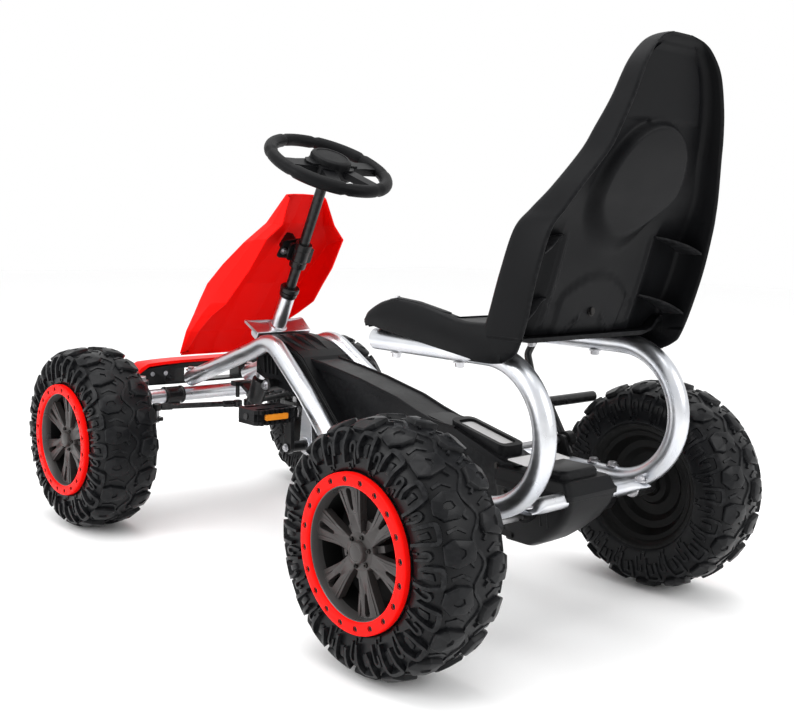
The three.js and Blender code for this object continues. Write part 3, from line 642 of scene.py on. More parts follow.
def ridge(line, width, height, side=1):
    # a low moulded bar following a line over the tyre
    line = np.array(line, float)
    direction = unitRows(np.gradient(line, axis=0))
    section = ((0.62, -0.8), (0.42, height), (-0.42, height), (-0.62, -0.8))
    points, faces = loft([[[*(p + np.array([-d[1], d[0]]) * width * w), h] for w, h in section]
                          for p, d in zip(line, direction)])
    return onTyre(points, side=side), faces


def marks(side, at, *ridges):
    # ridges of (line, width, height, points on a smoothed line or 0), shifted to a place round the tyre
    for line, width, height, count in ridges:
        line = [(u, at + v) for u, v in line]
        unit.append(ridge(smoothLine(line, count) if count else line, width, height, side))


bullet = [(-16, -10), (6, -15), (17, -10), (17, 10), (6, 15), (-16, 10), (-19, 0)]
hexagon = [(-17, -7), (-8, -15), (9, -15), (18, -5), (16, 10), (4, 16), (-13, 13)]
keystone = [(-8, -4.4), (7, -5), (8, 3.6), (-6, 4.4)]
pitch = 2 * pi * tyre["crown"] / (2 * tyre["repeats"])
unit = []
for side, shift in ((1, 0.0), (-1, pitch / 2)):
    tooth = tyre["toothHeight"] * (1.0 if side > 0 else tyre["innerTooth"])
    unit.append(lug(bullet, (26.5, shift), tyre["lugHeight"], (3.0, 7.5), side))
    unit.append(lug(hexagon, (27.5, shift + pitch), tyre["lugHeight"], (6.5, 4.0), side))
    for k in range(2):
        lean = 2.5 if k else -2.5
        at = shift + (k - 0.5) * pitch
        marks(side, at, ([(79, lean - 11), (62, lean - 12), (50, -11.5), (45.5, -8), (45.5, 8), (50, 11), (62, 12),
                          (71, lean + 10)], 5.4, tooth, 19))
        unit.append(lug(keystone, (62, at), 2.6, None, side))
        lean = 2.0 if k else -3.0
        marks(side, shift + k * pitch,
              ([(80, lean - 3), (68, -4.5), (60, -4.5), (57, 0), (60, 4.5), (68, 4.5)], 4.0, tooth * 0.55, 13),
              ([(76, 3), (85, 4)], 3.2, 1.6, 0), ([(82, 12.7), (86, 16), (86, 9)], 3.0, 1.6, 0))
    for k in range(2):
        marks(side, shift + (k + 0.5) * pitch, ([(14, -5), (25, 1), (37, -2)], 4.0, 1.6, 0),
              ([(8, 8), (13, 13), (8, 18)], 4.0, 2.6, 0))
unit.append(ridge([(7 * sin(2 * pi * k / 8 + 0.4), k * pitch / 8) for k in range(-4, 13)], 4.6, 1.8))
lugs = ringOf(joinShapes(*unit), tyre["repeats"], sharp=28)
tyreShape = joinShapes(lathe(tyreLine[::3], 120, closed=True), lugs)
print("tyre pattern:", len(tyreShape[1]), "faces")

rim = {"spokes": 6, "front": 44.0, "nutCircle": 17.6, "ringBolts": 20, "boltCircle": 83.7}
rimFront = rim["front"]
lip = lathe([(49.0, 77.5), (53.5, 77.2), (54.6, 76.2), (53.8, 75.0), (49.0, 73.4), (42.0, 72.2), (34.0, 71.8),
             (34.0, 73.0), (42.0, 74.0)], 72, closed=True)
barrel = lathe([(48.5, 91.0), (49.5, 84.0), (48.5, 77.0), (44.0, 72.6), (28.0, 70.5), (15.0, 69.0), (10.0, 62.0),
                (9.0, 40.0), (9.0, 12.0), (0.0, 9.0), (-16.0, 9.0), (-16.0, 13.5), (-19.0, 18.0), (-19.0, 27.0),
                (-13.0, 31.0), (-12.0, 46.0), (-15.5, 50.0), (-20.0, 54.0), (-21.5, 64.0), (-30.0, 69.0),
                (-36.0, 72.5), (-37.5, 79.0), (-42.0, 82.0), (-45.0, 86.0), (-45.5, 91.0)], 72, closed=True)


def dished(shape, start):
    # the spoke is dished, and its edges fall away from a raised middle
    u, v, w = shape[0].T
    x = start + w + 3.0 * np.clip((u - 40) / 36, 0, 1) - 1.6 * (np.abs(v) / 20) ** 1.5
    return np.stack([x, u, v], 1), shape[1]


def spokeUnit():
    edge = [(15, 8.2), (24, 8.6), (34, 9.8), (44, 12.0), (54, 14.8), (64, 17.8), (73.8, 20.4)]
    outline = edge + [(75.8, 10), (76.3, 0), (75.8, -10)] + [(u, -v) for u, v in edge[::-1]]
    slot = [(46, 0), (48, -2.0), (58, -3.2), (68, -4.4), (71, -3.6), (72.2, 0), (71, 3.6), (68, 4.4), (58, 3.2),
            (48, 2.0)]
    bars = []
    for s in bothSides:
        bar = [(u, s * v) for u, v in ((30, 6.0), (44, 7.4), (60, 11.2), (70, 13.6), (70.6, 15.8), (60, 13.2),
                                       (44, 9.2), (30, 7.6))]
        bars.append(dished(plate(bar[::s], 0, 1.3), rimFront - 0.4))
    web = block((rimFront - 20, 20, -4.0), (rimFront - 7, 36, 4.0))
    return joinShapes(dished(plate(outline, 0, 10.0, [slot]), rimFront - 10.0), turnedAboutX(web, 30), *bars)


def ringUnit():
    # one part of the ring, with a sunk screw seat in it
    step = 180 / rim["ringBolts"]
    around = [-step, -step / 2, 0, step / 2, step]
    edge = [(78.2, a) for a in around] + [(78.2 + 11.0 * k / 4, step) for k in range(1, 4)] \
        + [(89.2, a) for a in around[::-1]] + [(89.2 - 11.0 * k / 4, -step) for k in range(1, 4)]
    flat = np.array([arc(r, [a])[0] for r, a in edge])
    angles = np.arctan2(flat[:, 1], flat[:, 0] - rim["boltCircle"])
    loops = [np.column_stack([np.full(len(flat), 58.1), flat])]
    for radius, x in ((4.1, 58.1), (3.6, 57.3), (3.4, 54.6), (0.02, 54.6)):
        loops.append(np.column_stack([np.full(len(flat), x), rim["boltCircle"] + radius * np.cos(angles),
                                      radius * np.sin(angles)]))
    sheets = [[(50.3, 76.0), (56.2, 76.0), (57.5, 76.7), (58.1, 78.2)],
              [(58.1, 89.2), (57.5, 90.6), (56.2, 91.2), (50.3, 91.2)], [(50.3, 91.2), (50.3, 76.0)]]
    return joinShapes(loft(loops, closeEnds=False), *[
        loft([[(x, *p) for p in arc(r, around)] for x, r in sheet], closeEnds=False, closed=False) for sheet in sheets])


def frontLathe(profile, sides):
    return lathe([(rimFront + x, r) for x, r in profile], sides)


hub = lathe([(10, 24), (rimFront - 3, 24), (rimFront - 0.6, 22.6), (rimFront + 0.2, 21), (rimFront + 0.2, 0.01)], 48)
ringBolt = joinShapes(
    lathe([(54.0, 3.2), (56.2, 3.2), (56.9, 2.5), (57.0, 1.6), (56.1, 1.3), (56.1, 0.01)], 12),
    lathe([(57.35, 4.3), (57.75, 4.1), (57.75, 3.5), (57.2, 3.4)], 16, closed=True))
nut = frontLathe([(-1, 3.0), (2.4, 3.0), (3.2, 2.4), (3.2, 1.4), (4.4, 1.3), (4.7, 0.01)], 6)
# what each wheel is made of: name ending, shape, look, ending of the node it stands for, other settings
wheelPieces = [
    ("Tyre", tyreShape, "tyre", "_tyre", {"sharp": 28}),
    ("Rim", joinShapes(ringOf(spokeUnit(), rim["spokes"], start=14), hub), "rim", "_rim", {"bevel": 0.9}),
    ("Barrel", barrel, "rimBack", "", {}),
    ("Lip", lip, "lip", "", {}),
    ("Ring", ringOf(ringUnit(), rim["ringBolts"]), "red", "_ring", {"sharp": 40}),
    ("RingBolts", ringOf(moved(ringBolt, [0, rim["boltCircle"], 0]), rim["ringBolts"]), "darkBolt", "", {}),
    ("Cap", frontLathe([(-4, 13.2), (4.5, 13.0), (6.4, 11.8), (7.0, 9.8), (6.6, 9.2), (7.2, 6.4), (7.5, 0.01)], 48),
     "rim", "_cap", {"slot": "cap_dark"}),
    ("Nuts", ringOf(moved(nut, [0, rim["nutCircle"], 0]), 6, start=44), "darkBolt", "", {}),
]
wheelTurns = {"front_left": 11.0, "front_right": 40.0, "rear_left": -28.0, "rear_right": 25.0}
for wheelName, angle in wheelTurns.items():
    end, side = wheelName.split("_")
    body = "rear_wheels" if end == "rear" else wheelName + "_wheel"
    for label, shape, look, node, settings in wheelPieces:
        shape = turnedAboutX(shape, angle)
        shape = moved(shape if side == "left" else mirrored(shape), centreOf(wheelName + "_tyre"))
        piece(end + side.capitalize() + label, shape, look, [wheelName + node] if node else (), body, **settings)
print("wheels done")

# frame tubes
tubeX = 132.0
frameTube = {
    "corners": [(60, frontY + 3, 234.5), (60, -206, 304), (62, -150, 326), (75, -40, 254), (93, 64, tubeLow),
                (tubeX, 290, tubeLow), (tubeX, rearY + 22, tubeLow)],
    "bend": 70.0, "railReach": 180.0,
}
loopCentre = np.array([seatTubeX, rearY + 22, (tubeLow + tubeTop) / 2])
loopRadius = (tubeTop - tubeLow) / 2
hoop = [loopCentre + loopRadius * np.array([0, sin(a), -cos(a)]) for a in np.linspace(0, pi, 37)[1:]]
mainTube = sweep(np.vstack([bentPath(frameTube["corners"], frameTube["bend"], 12), hoop,
                            [[seatTubeX, rearY - frameTube["railReach"], tubeTop]]]), tubeR, 32)
piece("leftFrameTube", mainTube, "zinc", ["left_frame_tube"], sharp=50)
piece("rightFrameTube", mirrored(mainTube), "zinc", ["right_frame_tube"], sharp=50)

crossY, crossZ = centreOf("rear_crossmember")[1:]
crossHalf = boxOf("rear_crossmember")[1][0]
# distance in from an end, half depth, half height: the ends are pressed flat
crossEnd = [(0, 14.5, 3.0), (10, 14.5, 3.0), (22, 11.5, 8.0), (32, 10, 10)]
crossRows = [(d - crossHalf, w, h) for d, w, h in crossEnd] + [(crossHalf - d, w, h) for d, w, h in crossEnd[::-1]]
piece("rearCrossmember", loft([[(x, crossY + w * c, crossZ - (10 - h) * 0.4 + h * s) for c, s in roundSection(28)]
                               for x, w, h in crossRows]), "zinc", ["rear_crossmember"], sharp=60)

beamLow, beamHigh = boxOf("front_beam")
beamZ = (beamLow[2] + beamHigh[2]) / 2
piece("frontBeam", rod((beamLow[0], frontY, beamZ), (beamHigh[0], frontY, beamZ), 12.5, 36, 0.8), "zinc",
      ["front_beam"], sharp=40)


def flanged(length, bore, flange, body, edge, width, slope):
    # (along, radius) of a sleeve with a flange at each end
    end = [(0, bore), (0, flange - 1), (edge, flange), (width, flange), (width + slope, body)]
    return end + [(length - at, r) for at, r in end[::-1]]


knuckle = {"pinX": 158.0, "stubX": 171.0, "top": 177.7, "armThick": 6.0, "armX": 146.0, "armY": 35.0}
trackRod = {"innerX": 11.0, "innerY": -323.3, "z": 195.0, "eyeGap": 7.0}
for label, s in (("Left", 1), ("Right", -1)):
    lefty = label.lower()
    (x0, _, _), (x1, _, _) = boxOf("beam_sleeve_" + lefty)
    shape = joinShapes(latheAlong(flanged(x1 - x0, 12.6, 15.6, 14.8, 1.2, 4, 1), (x0, frontY, beamZ), (1, 0, 0)),
                       moved(block((x0 + 8, -8, -19.5), (x1 - 8, 8, -13)), (0, frontY, beamZ)))
    piece("beamSleeve" + label, shape, "paint", ["beam_sleeve_" + lefty], bevel=0.7)
    low, high = boxOf("kingpin_sleeve_" + lefty)
    foot = ((low[0] + high[0]) / 2, (low[1] + high[1]) / 2, low[2])
    piece("kingpinSleeve" + label, latheAlong(flanged(high[2] - low[2], 7.4, 14, 12.8, 1, 5, 1.2), foot, (0, 0, 1)),
          "paint", ["kingpin_sleeve_" + lefty])

    # knuckle: forged block, stub axle, arm and pin
    pinX, stubX, top, armX = s * knuckle["pinX"], s * knuckle["stubX"], knuckle["top"], s * knuckle["armX"]
    armPin = frontY + knuckle["armY"]
    yokeBlock = plate(roundRect(26, 26, 5, 4, (pinX, frontY)), boxOf(lefty + "_knuckle")[0][2], top)
    arm = roundPlate([(s * x, frontY + y) for x, y in ((138, 8), (164, 8), (154, 45), (138, 45))], 5, 4,
                     top - knuckle["armThick"], top)
    piece(lefty + "Knuckle", joinShapes(yokeBlock, arm), "paint", [lefty + "_knuckle"],
          lefty + "_steering_knuckle", bevel=1.2)
    stubEnd = s * boxOf("left_knuckle")[1][0]
    stub = [rod((stubX, frontY, axleZ), (x, frontY, axleZ), r, 28, c)
            for x, r, c in ((stubEnd, 8, 0.8), (s * 182, 12, 1.2))]
    pins = [rod((pinX, frontY, z0), (pinX, frontY, z1), r, n, c) for z0, z1, r, n, c in
            ((170, 240, 6.8, 24, 0), (236.3, 238, 13, 28, 0.5), (238, 244.6, 10.6, 6, 1.0))]
    pins.append(rod((armX, armPin, 168), (armX, armPin, 189.5), 4, 20, 0.5))
    piece(lefty + "StubAxle", joinShapes(*stub, *pins), "steel", (), lefty + "_steering_knuckle", bevel=0.3)
    outer = np.array([armX, armPin, trackRod["z"]])
    inner = np.array([s * trackRod["innerX"], trackRod["innerY"], trackRod["z"]])
    along = unitRows(inner - outer)
    eye = [(-6, 4.6), (-6, 6.6), (-4.5, 8), (4.5, 8), (6, 6.6), (6, 4.6)]
    tie = joinShapes(rod(outer + along * 22, inner - along * 22, 4.8, 20),
                     rod(outer + along * trackRod["eyeGap"], outer + along * 26, 6.4, 6, 0.5),
                     rod(inner - along * trackRod["eyeGap"], inner - along * 26, 6.4, 6, 0.5),
                     *[latheAlong(eye, end, (0, 0, 1), 28) for end in (outer, inner)])
    piece(lefty + "TieRod", tie, "paint", [lefty + "_tie_rod"], lefty + "_track_rod")
print("front axle done")

# steering column, head tube and plate
column = {"tilt": radians(26.3), "foot": np.array([0, -277.0, 224.0])}
columnDir = np.array([0, sin(column["tilt"]), cos(column["tilt"])])
columnSide = np.array([0, -cos(column["tilt"]), sin(column["tilt"])])
across = (1, 0, 0)


def upColumn(z):
    return (z - column["foot"][2]) / columnDir[2]


def onColumn(z):
    return column["foot"] + columnDir * upColumn(z)


def alongColumn(*profile):
    # profile of (height, radius) pairs, heights being places on the column
    return latheAlong([(upColumn(z), r) for z, r in profile], column["foot"], columnDir, 40)


piece("headTube", alongColumn((250, 9.2), (250, 12.5), (391, 12.5), (391, 9.2)), "zinc", ["head_tube"])
piece("columnCollar", alongColumn((392.5, 9.2), (392.5, 13.6), (394, 14.6), (399.2, 14.6), (399.8, 12.6),
                                  (400.8, 12.6), (401.4, 16), (407, 16), (408, 14.8), (408, 9.2)),
      "paint", ["column_collar"])
piece("steeringColumn", alongColumn((206, 0.01), (206, 8.5), (591, 8.5), (592, 7.6), (592, 0.01)), "paint",
      ["steering_column"], "steering")
piece("columnFoot", alongColumn((205, 8.4), (205, 14), (206.5, 15), (243, 15), (244.5, 14), (244.5, 8.4)),
      "paint", (), "steering")
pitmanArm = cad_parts["pitman_arm"]
pitmanArm.data.materials.clear()
pitmanArm.data.materials.append(looks["paint"][1])
pitmanArm["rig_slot"] = "black_steel"

plateMid = onColumn(338)
headPlate = {"endAt": 44.0, "endRun": 15.0, "endRise": 5.0, "legX": 42.0}
bridge = roundPlate([(-57, 19), (-20, 17), (20, 17), (57, 19), (59, 14), (54, -21), (20, -18), (-20, -18),
                     (-54, -21), (-59, 14)], 3, 3, -2.2, 2.2, [circle(12.4, 32)])
# its two ends turn up a little
endShare = np.clip((np.abs(bridge[0][:, 0]) - headPlate["endAt"]) / headPlate["endRun"], 0, 1)
bridge[0][:, 2] += headPlate["endRise"] * endShare ** 2
leg = roundPlate([(-12, 2), (12, 2), (8, -16), (-8, -18)], 4, 3, -2, 2)
legs = [placed(leg, plateMid + np.array([s * headPlate["legX"], 0, 0]), columnSide, columnDir, across)
        for s in bothSides]
piece("headPlate", joinShapes(placed(bridge, plateMid, (-1, 0, 0), columnSide, columnDir), *legs), "zinc",
      ["head_plate"], bevel=0.8)
piece("headWeld", alongColumn((333, 12.4), (334.5, 15.2), (341, 15.2), (342.5, 12.4)), "zinc")

# steering wheel: local x across, y up the face, z along the column
steering = {"height": 604.0, "rim": 94.0, "tube": 9.8, "grips": (45, 135, 225, 315), "gripHalf": 26.0}
wheelPlace = (onColumn(steering["height"]), (-1, 0, 0), columnSide, columnDir)
around = np.linspace(0, 2 * pi, 97)[:-1]
rimRadii = []
for a in around:
    near = min(abs((degrees(a) - grip + 180) % 360 - 180) for grip in steering["grips"]) - steering["gripHalf"]
    rimRadii.append(steering["tube"] - 1.3 * exp(-(near / 1.6) ** 2) + (0.6 if near < 0 else 0))
rimPath = np.stack([steering["rim"] * np.cos(around), steering["rim"] * np.sin(around), np.zeros(96)], 1)
rimTube = sweep(rimPath, rimRadii, 24, closedPath=True, up=(0, 0, 1))
# arms, lower arms and shoulders, then the bar along the bottom: outline, rounding, underside, top
armShapes = [([(20, 15), (60, 9), (92, 10), (92, -14), (60, -15), (20, -20)], 5, -9, 3.5),
             ([(5, -20), (30, -20), (49, -74), (42, -82), (30, -84)], 4, -8, 2.5),
             ([(30, 12), (44, 8), (50, -6), (44, -16), (30, -16)], 4, -4, 7.0)]
arms = [roundPlate([(s * x, y) for x, y in outline], corner, 4, low, high)
        for s in bothSides for outline, corner, low, high in armShapes]
arms.append(roundPlate([(-34, -74), (34, -74), (30, -86), (-30, -86)], 4, 3, -7, 2))
hubBoss = placed(lathe([(-18, 14), (-18, 22), (-12, 26), (2, 31), (6, 31), (8, 29), (8, 10)], 48),
                 (0, 0, 0), (0, 0, 1), (1, 0, 0), (0, 1, 0))
hubShape = joinShapes(plate(roundRect(70, 56, 20, 6, (0, -4)), -15, 5), hubBoss, *arms)
piece("steeringRim", placed(rimTube, *wheelPlace), "grip", ["steering_wheel"], "steering")
piece("steeringHub", placed(hubShape, *wheelPlace), "cover", (), "steering", bevel=1.6, segments=3)
capLathe = lathe([(4, 33.0), (10.5, 33.0), (13.6, 31.8), (15.6, 29.0), (16.0, 26.0), (15.0, 25.2), (15.4, 14),
                  (15.7, 0.01)], 64)
piece("steeringCap", placed(capLathe, wheelPlace[0], columnDir, across, columnSide), "grip", ["steering_cap"],
      "steering")
print("steering done")

# seat: rows up the back give height, place behind the axle, half width and depth
seatBack = {
    "rows": [(357, 52, 158, 40), (361, 70, 158.5, 50), (369, 84, 159.5, 58), (378, 92, 160.5, 62),
             (409, 104, 162, 60), (463, 119, 164.5, 56), (512, 132, 160, 54), (535, 142, 149, 50),
             (559, 152, 136, 43), (599, 168, 112, 40), (625, 175, 102, 37), (657, 181, 90, 32), (694, 184, 75, 28),
             (716, 183, 58, 23), (727, 181, 42, 17), (733, 178, 20, 11)],
    "rowCount": 150, "panelFrom": 383.5, "wall": 5.5, "hollow": 0.70, "bodyHalf": 95.0, "panelSteps": 34,
    "eggMiddle": 560.0, "eggHalf": 80.0, "eggTall": 81.0, "eggRise": 15.0,
}
rows = smoothLine([(z, rearY + b, w, d) for z, b, w, d in seatBack["rows"]], seatBack["rowCount"])


def eased(value, low, high):
    t = min(1.0, max(0.0, (value - low) / (high - low)))
    return t * t * (3 - 2 * t)


def panelRelief(x, z, half):
    # moulded shapes on the back panel, in mm towards the rear
    across = abs(x)
    below = seatBack["eggMiddle"] - z
    ringAt = hypot(across / (seatBack["eggHalf"] - 14 * eased(below, 0, 78)), -below / seatBack["eggTall"])
    lift = seatBack["eggRise"] * eased(1.0 - ringAt, 0.0, 0.14 + 0.36 * eased(below, 0, 76))
    if z > 636:
        lift += 2.4 * eased(min(half - 14 - across, 722 - z, z - 636), 0, 4)
    if z < 470:
        archTop = 462 - 26 * (across / 62.0) ** 2
        lift += 3.2 * eased(min(62 + (z - 385) * 0.08 - across, archTop - z, z - 381), 0, 5)
        if z < 410:
            for k in bothSides:
                for slant in (0.9, 1.7):
                    line = abs(x - k * (24 + slant * (404 - z) * 0.9))
                    lift += 2.0 * (1 - eased(line, 0.6, 2.6)) * eased(410 - z, 0, 8)
    if z < 512:
        lift += 2.6 * (1 - eased(abs(across - 84), 1.5, 6)) * eased(512 - z, 0, 14) * eased(z - 392, 0, 12)
        lift -= (2.2 * (1 - eased(abs(z - 430 + across * 0.05), 0.8, 2.6)) * eased(90 - across, 0, 6)
                 * eased(across - 60, 0, 4))
    return lift


def backEdge(rear, w, depth):
    # the rolled outer edge, from the front round to the rear
    front = rear - depth
    edge = [(w - 4.5, front), (w - 1.6, front + 0.6), (w - 0.2, front + 3.5)]
    edge += [(w + 0.8 * sin(pi * t), front + 3.5 + (depth - 9) * t) for t in (0.2, 0.4, 3 / 5, 0.8)]
    return edge + [(w, rear - 5), (w - 0.7, rear - 1.4), (w - 2.6, rear), (w - 4.6, rear - 0.9)]


def backLoop(z, rear, w, depth):
    wall, steps = seatBack["wall"], seatBack["panelSteps"]
    deep = depth * seatBack["hollow"] * eased(736 - z, 0, 26)
    gutter = min(6.0 * eased(530 - z, 0, 40), depth - deep - wall - 3)
    body = min(seatBack["bodyHalf"], max(w - 19, 1.5))
    floorY = rear - deep - gutter
    half = backEdge(rear, w, depth)
    half += [(w - wall, rear - min(4, deep * 0.3 + 0.9)), (w - wall - 0.8, rear - deep * 0.5 - 0.9),
             (w - wall - 2, floorY + min(5, deep * 0.2)), (w - wall - 4, floorY + min(1.4, deep * 0.1)),
             (w - wall - 8, floorY), (body + 3, floorY), (body - 2, rear - deep)]
    for k in range(1, steps + 1):
        x = (body - 2) * (1 - k / steps)
        half.append((x, rear - deep + panelRelief(x, z, w)))
    skin = [((body - 4) * k / 5, rear - deep - wall) for k in range(6)]
    skin += [(body + 1, floorY - wall), (w - wall - 9, floorY - wall), (w - wall - 1.5, rear - depth + 1.5)]
    return [(x, y, z) for x, y in half + flipped(half[:-1]) + flipped(skin[1:]) + skin]


def sideLoop(z, rear, w, depth):
    # below the panel only the side walls go on
    loop = backEdge(rear, w, depth) + [(w - 5.5, rear - 4), (w - 6.3, rear - depth * 0.4),
                                       (w - 6.5, rear - depth + 8), (w - 6, rear - depth + 2)]
    return [(x, y, z) for x, y in loop]


def rowNear(z):
    return min(rows, key=lambda row: abs(row[0] - z))


gussets = []
for z, drop, reach in ((506, 20, 0.80), (432, 24, 0.72)):
    _, rear, w, depth = rowNear(z)
    deep = depth * seatBack["hollow"]
    loops = []
    for k in range(9):
        t = k / 8
        x = 90 + (w - 8 - 90) * t
        level = z - drop * t ** 1.5
        near = rear - deep - 4
        far = rear - deep + 2 + (deep - 6) * reach * sin(t * pi / 2) ** 1.4
        loops.append([(x, y, level + up) for y, up in ((near, -1.4), (far, -1.4), (far + 0.8, 0), (far, 1.4),
                                                       (near, 1.4))])
    gussets.append(both(loft(loops)))
seat = joinShapes(loft([backLoop(*row) for row in rows if row[0] >= seatBack["panelFrom"]]),
                  both(loft([sideLoop(*row) for row in rows if row[0] < 390])), *gussets)
piece("seatBack", seat, "seat", ["seat_shell"], sharp=75)

seatBase = {
    # behind the axle, top of the side, bottom of the side, half width
    "rows": [(-176, 388, 386, 156), (-173, 396, 385.5, 160), (-166, 403, 385, 162.5), (-150, 412, 383.5, 164),
             (-135, 417.5, 381, 164.8), (-111, 422, 378, 165), (-75, 419, 373, 165), (-37, 412, 368, 165),
             (0, 404, 363, 164), (25, 403, 359.5, 163), (50, 404, 357.5, 161), (66, 404, 359, 160)],
    "panAbove": 28.3, "innerTop": 400.0, "boltX": 129.0, "boltsBehind": (-140, -25),
}
pan = boxOf("seat_shell")[0][2] + seatBase["panAbove"]
baseLoops = []
for behind, top, low, w in smoothLine(seatBase["rows"], 46):
    edge = max(top, pan + 0.8)
    outer = [(w - 1.2, low), (w, low + 1.5), (w + 0.3, (low + edge) / 2), (w - 0.4, edge - 6), (w - 2.5, edge - 2),
             (w - 7, edge), (w - 13, edge - 0.6), (w - 19, max(pan + 0.5, edge - 5)),
             (w - 28, max(pan + 0.3, edge - 14)), (w - 40, max(pan + 0.2, edge - 25)), (w - 52, pan + 0.1)]
    outer += [((w - 60) * (1 - k / 6), pan) for k in range(7)]
    inner = [((w - 60) * k / 6, pan - 5.5) for k in range(7)]
    inner += [(w - 50, pan - 5.5), (w - 28, max(pan - 5.0, edge - 19)), (w - 16, max(pan - 4.5, edge - 9)),
              (w - 6.2, edge - 8), (w - 5.6, low + 1), (w - 4.2, low)]
    inner = [(x, min(z, seatBase["innerTop"])) for x, z in inner]
    loop = outer + flipped(outer[:-1]) + flipped(inner[1:]) + inner
    baseLoops.append([(x, rearY + behind, z) for x, z in loop])
piece("seatBase", loft(baseLoops), "seat", sharp=44)
bolster = []
baseBehind, baseTop, _, baseHalf = np.array(seatBase["rows"]).T
for s in bothSides:
    for half, lift, start, run in ((9.5, 1.6, -140, 128), (6.2, 2.6, -128, 104)):
        loops = []
        for t in np.linspace(0, 1, 19):
            behind = start + run * t
            w, top = np.interp(behind, baseBehind, baseHalf), np.interp(behind, baseBehind, baseTop)
            h = half * min(1, 0.35 + 9 * t * (1 - t))
            lean = 4 * (t - 0.5)
            loops.append([(s * (w - 12 - q * h - lean), rearY + behind,
                           top - 1.6 + up - 0.016 * (q * h) ** 2 * (2 if q > 0 else 1))
                          for q, up in ((-1, -2.0), (-0.9, lift), (0, lift + 0.6), (0.9, lift), (1, -2.0))])
        bolster.append(loft(loops))
piece("seatBolsterPads", joinShapes(*bolster), "seat", sharp=50)
screws("bolsterScrews", [((s * 152, rearY - 118, 422.5), (0, 0, 1)) for s in bothSides], "bolt", 3.0, 1.2, 4.2, 0.6, 14)
# bolts through the rails, the groove pads on the pan and the bolt low on the back
boltPlaces = [(s, s * seatBase["boltX"], rearY + behind) for s in bothSides for behind in seatBase["boltsBehind"]]
pads = [roundPlate([(x - s * 11, y - 13), (x + s * 11, y - 17), (x + s * 11, y + 13), (x - s * 11, y + 17)], 4, 3,
                   pan - 1, pan + 1.6, [circle(4.2, 16, (x, y))]) for s, x, y in boltPlaces]
piece("seatPads", joinShapes(*pads), "seat", bevel=0.6)
screws("seatScrews", [((x, y, pan - 0.2), (0, 0, 1)) for _, x, y in boltPlaces], "bolt", 4.0, 2.4, 5.6, 0.8, 16)
_, rear, _, depth = rowNear(414)
screws("seatBackScrew", [((0, rear - depth * seatBack["hollow"] + 3.0, 414), (0, 1, 0.1))], "darkBolt",
       4.4, 2.4, 6.4, 1.0, 16)
screws("railScrews", [((s * tubeX, y, 349.6), (0, 0, -1)) for s, _, y in boltPlaces], "bolt", 6.0, 5.0, 8.0, 1.0)
print("seat done")

# fairing: each row is front corner, rear edge, centre (y, z)
fairing = {
    "rows": [((36, -152, 558), (37, -141, 552), (-156, 560)), ((58, -175, 512), (53, -138, 510), (-188, 515)),
             ((85, -198, 480), (78, -145, 487), (-226, 481)), ((93, -247, 443), (84, -181, 438), (-276, 444)),
             ((96, -289, 409), (87, -210, 409), (-320, 409)), ((97, -311, 380), (91, -240, 378), (-346, 380)),
             ((96, -331, 355), (91, -283, 355), (-368, 353)), ((90, -366, 323), (80, -340, 323), (-402, 319)),
             ((78, -408, 278), (72, -392, 284), (-432, 274))],
    "wall": 3.4, "sideBulge": 2.5, "facet": (0.56, 0.72, 0.7),
}
grid = []
for corner, edge, (cy, cz) in fairing["rows"]:
    corner, edge = np.array(corner, float), np.array(edge, float)
    middle = (corner + edge) / 2 + [fairing["sideBulge"], 0, 0]
    inX, toY, toZ = fairing["facet"]
    facet = np.array([corner[0] * inX, corner[1] + (cy - corner[1]) * toY, corner[2] + (cz - corner[2]) * toZ])
    line = [edge, middle, corner, facet, np.array([0, cy, cz])]
    grid.append(line + [p * [-1, 1, 1] for p in line[:-1][::-1]])
grid = np.array(grid)
normal = unitRows(np.cross(np.gradient(grid, axis=1), np.gradient(grid, axis=0)))
if normal[4, 4][1] > 0:
    normal = -normal
innerGrid = grid - normal * fairing["wall"]
piece("fairing", loft([[*outer, *inner[::-1]] for outer, inner in zip(grid, innerGrid)]), "red", ["fairing"],
      bevel=0.9, sharp=9)
clampMid = onColumn(461)
facingUp = (clampMid, across, columnDir, columnSide)
clampShape = joinShapes(
    alongColumn((442, 9.2), (442, 13.4), (444, 14), (452, 14), (453, 13), (469, 13), (470, 14), (478, 14),
                (480, 13.4), (480, 9.2)),
    placed(roundPlate([(12, -12), (46, -16), (59, -12), (48, 17), (38, 20), (12, 14)], 4, 3, -2, 2),
           clampMid, columnSide, columnDir, across),
    placed(plate(roundRect(34, 30, 5, 4), 10, 15), *facingUp),
    placed(roundPlate([(-30, -19), (30, -15), (24, 15), (-27, 22)], 5, 3, 20, 23), *facingUp),
    placed(plate(roundRect(9, 26, 2, 3, (-17, 0)), -3.5, 3.5), *facingUp))
piece("fairingBracket", clampShape, "paint", ["fairing_bracket"], bevel=0.7)
clampSpots = [(-17.5, 3.5, -8), (-17.5, 3.5, 8), (-20, 19.5, -3), (20, 19.5, -3)]
screws("clampScrews", [(clampMid + np.array([x, 0, 0]) + columnSide * out + columnDir * along, -columnSide)
                       for x, out, along in clampSpots], "bolt", 4.0, 3.0, 6.0, 1.0)

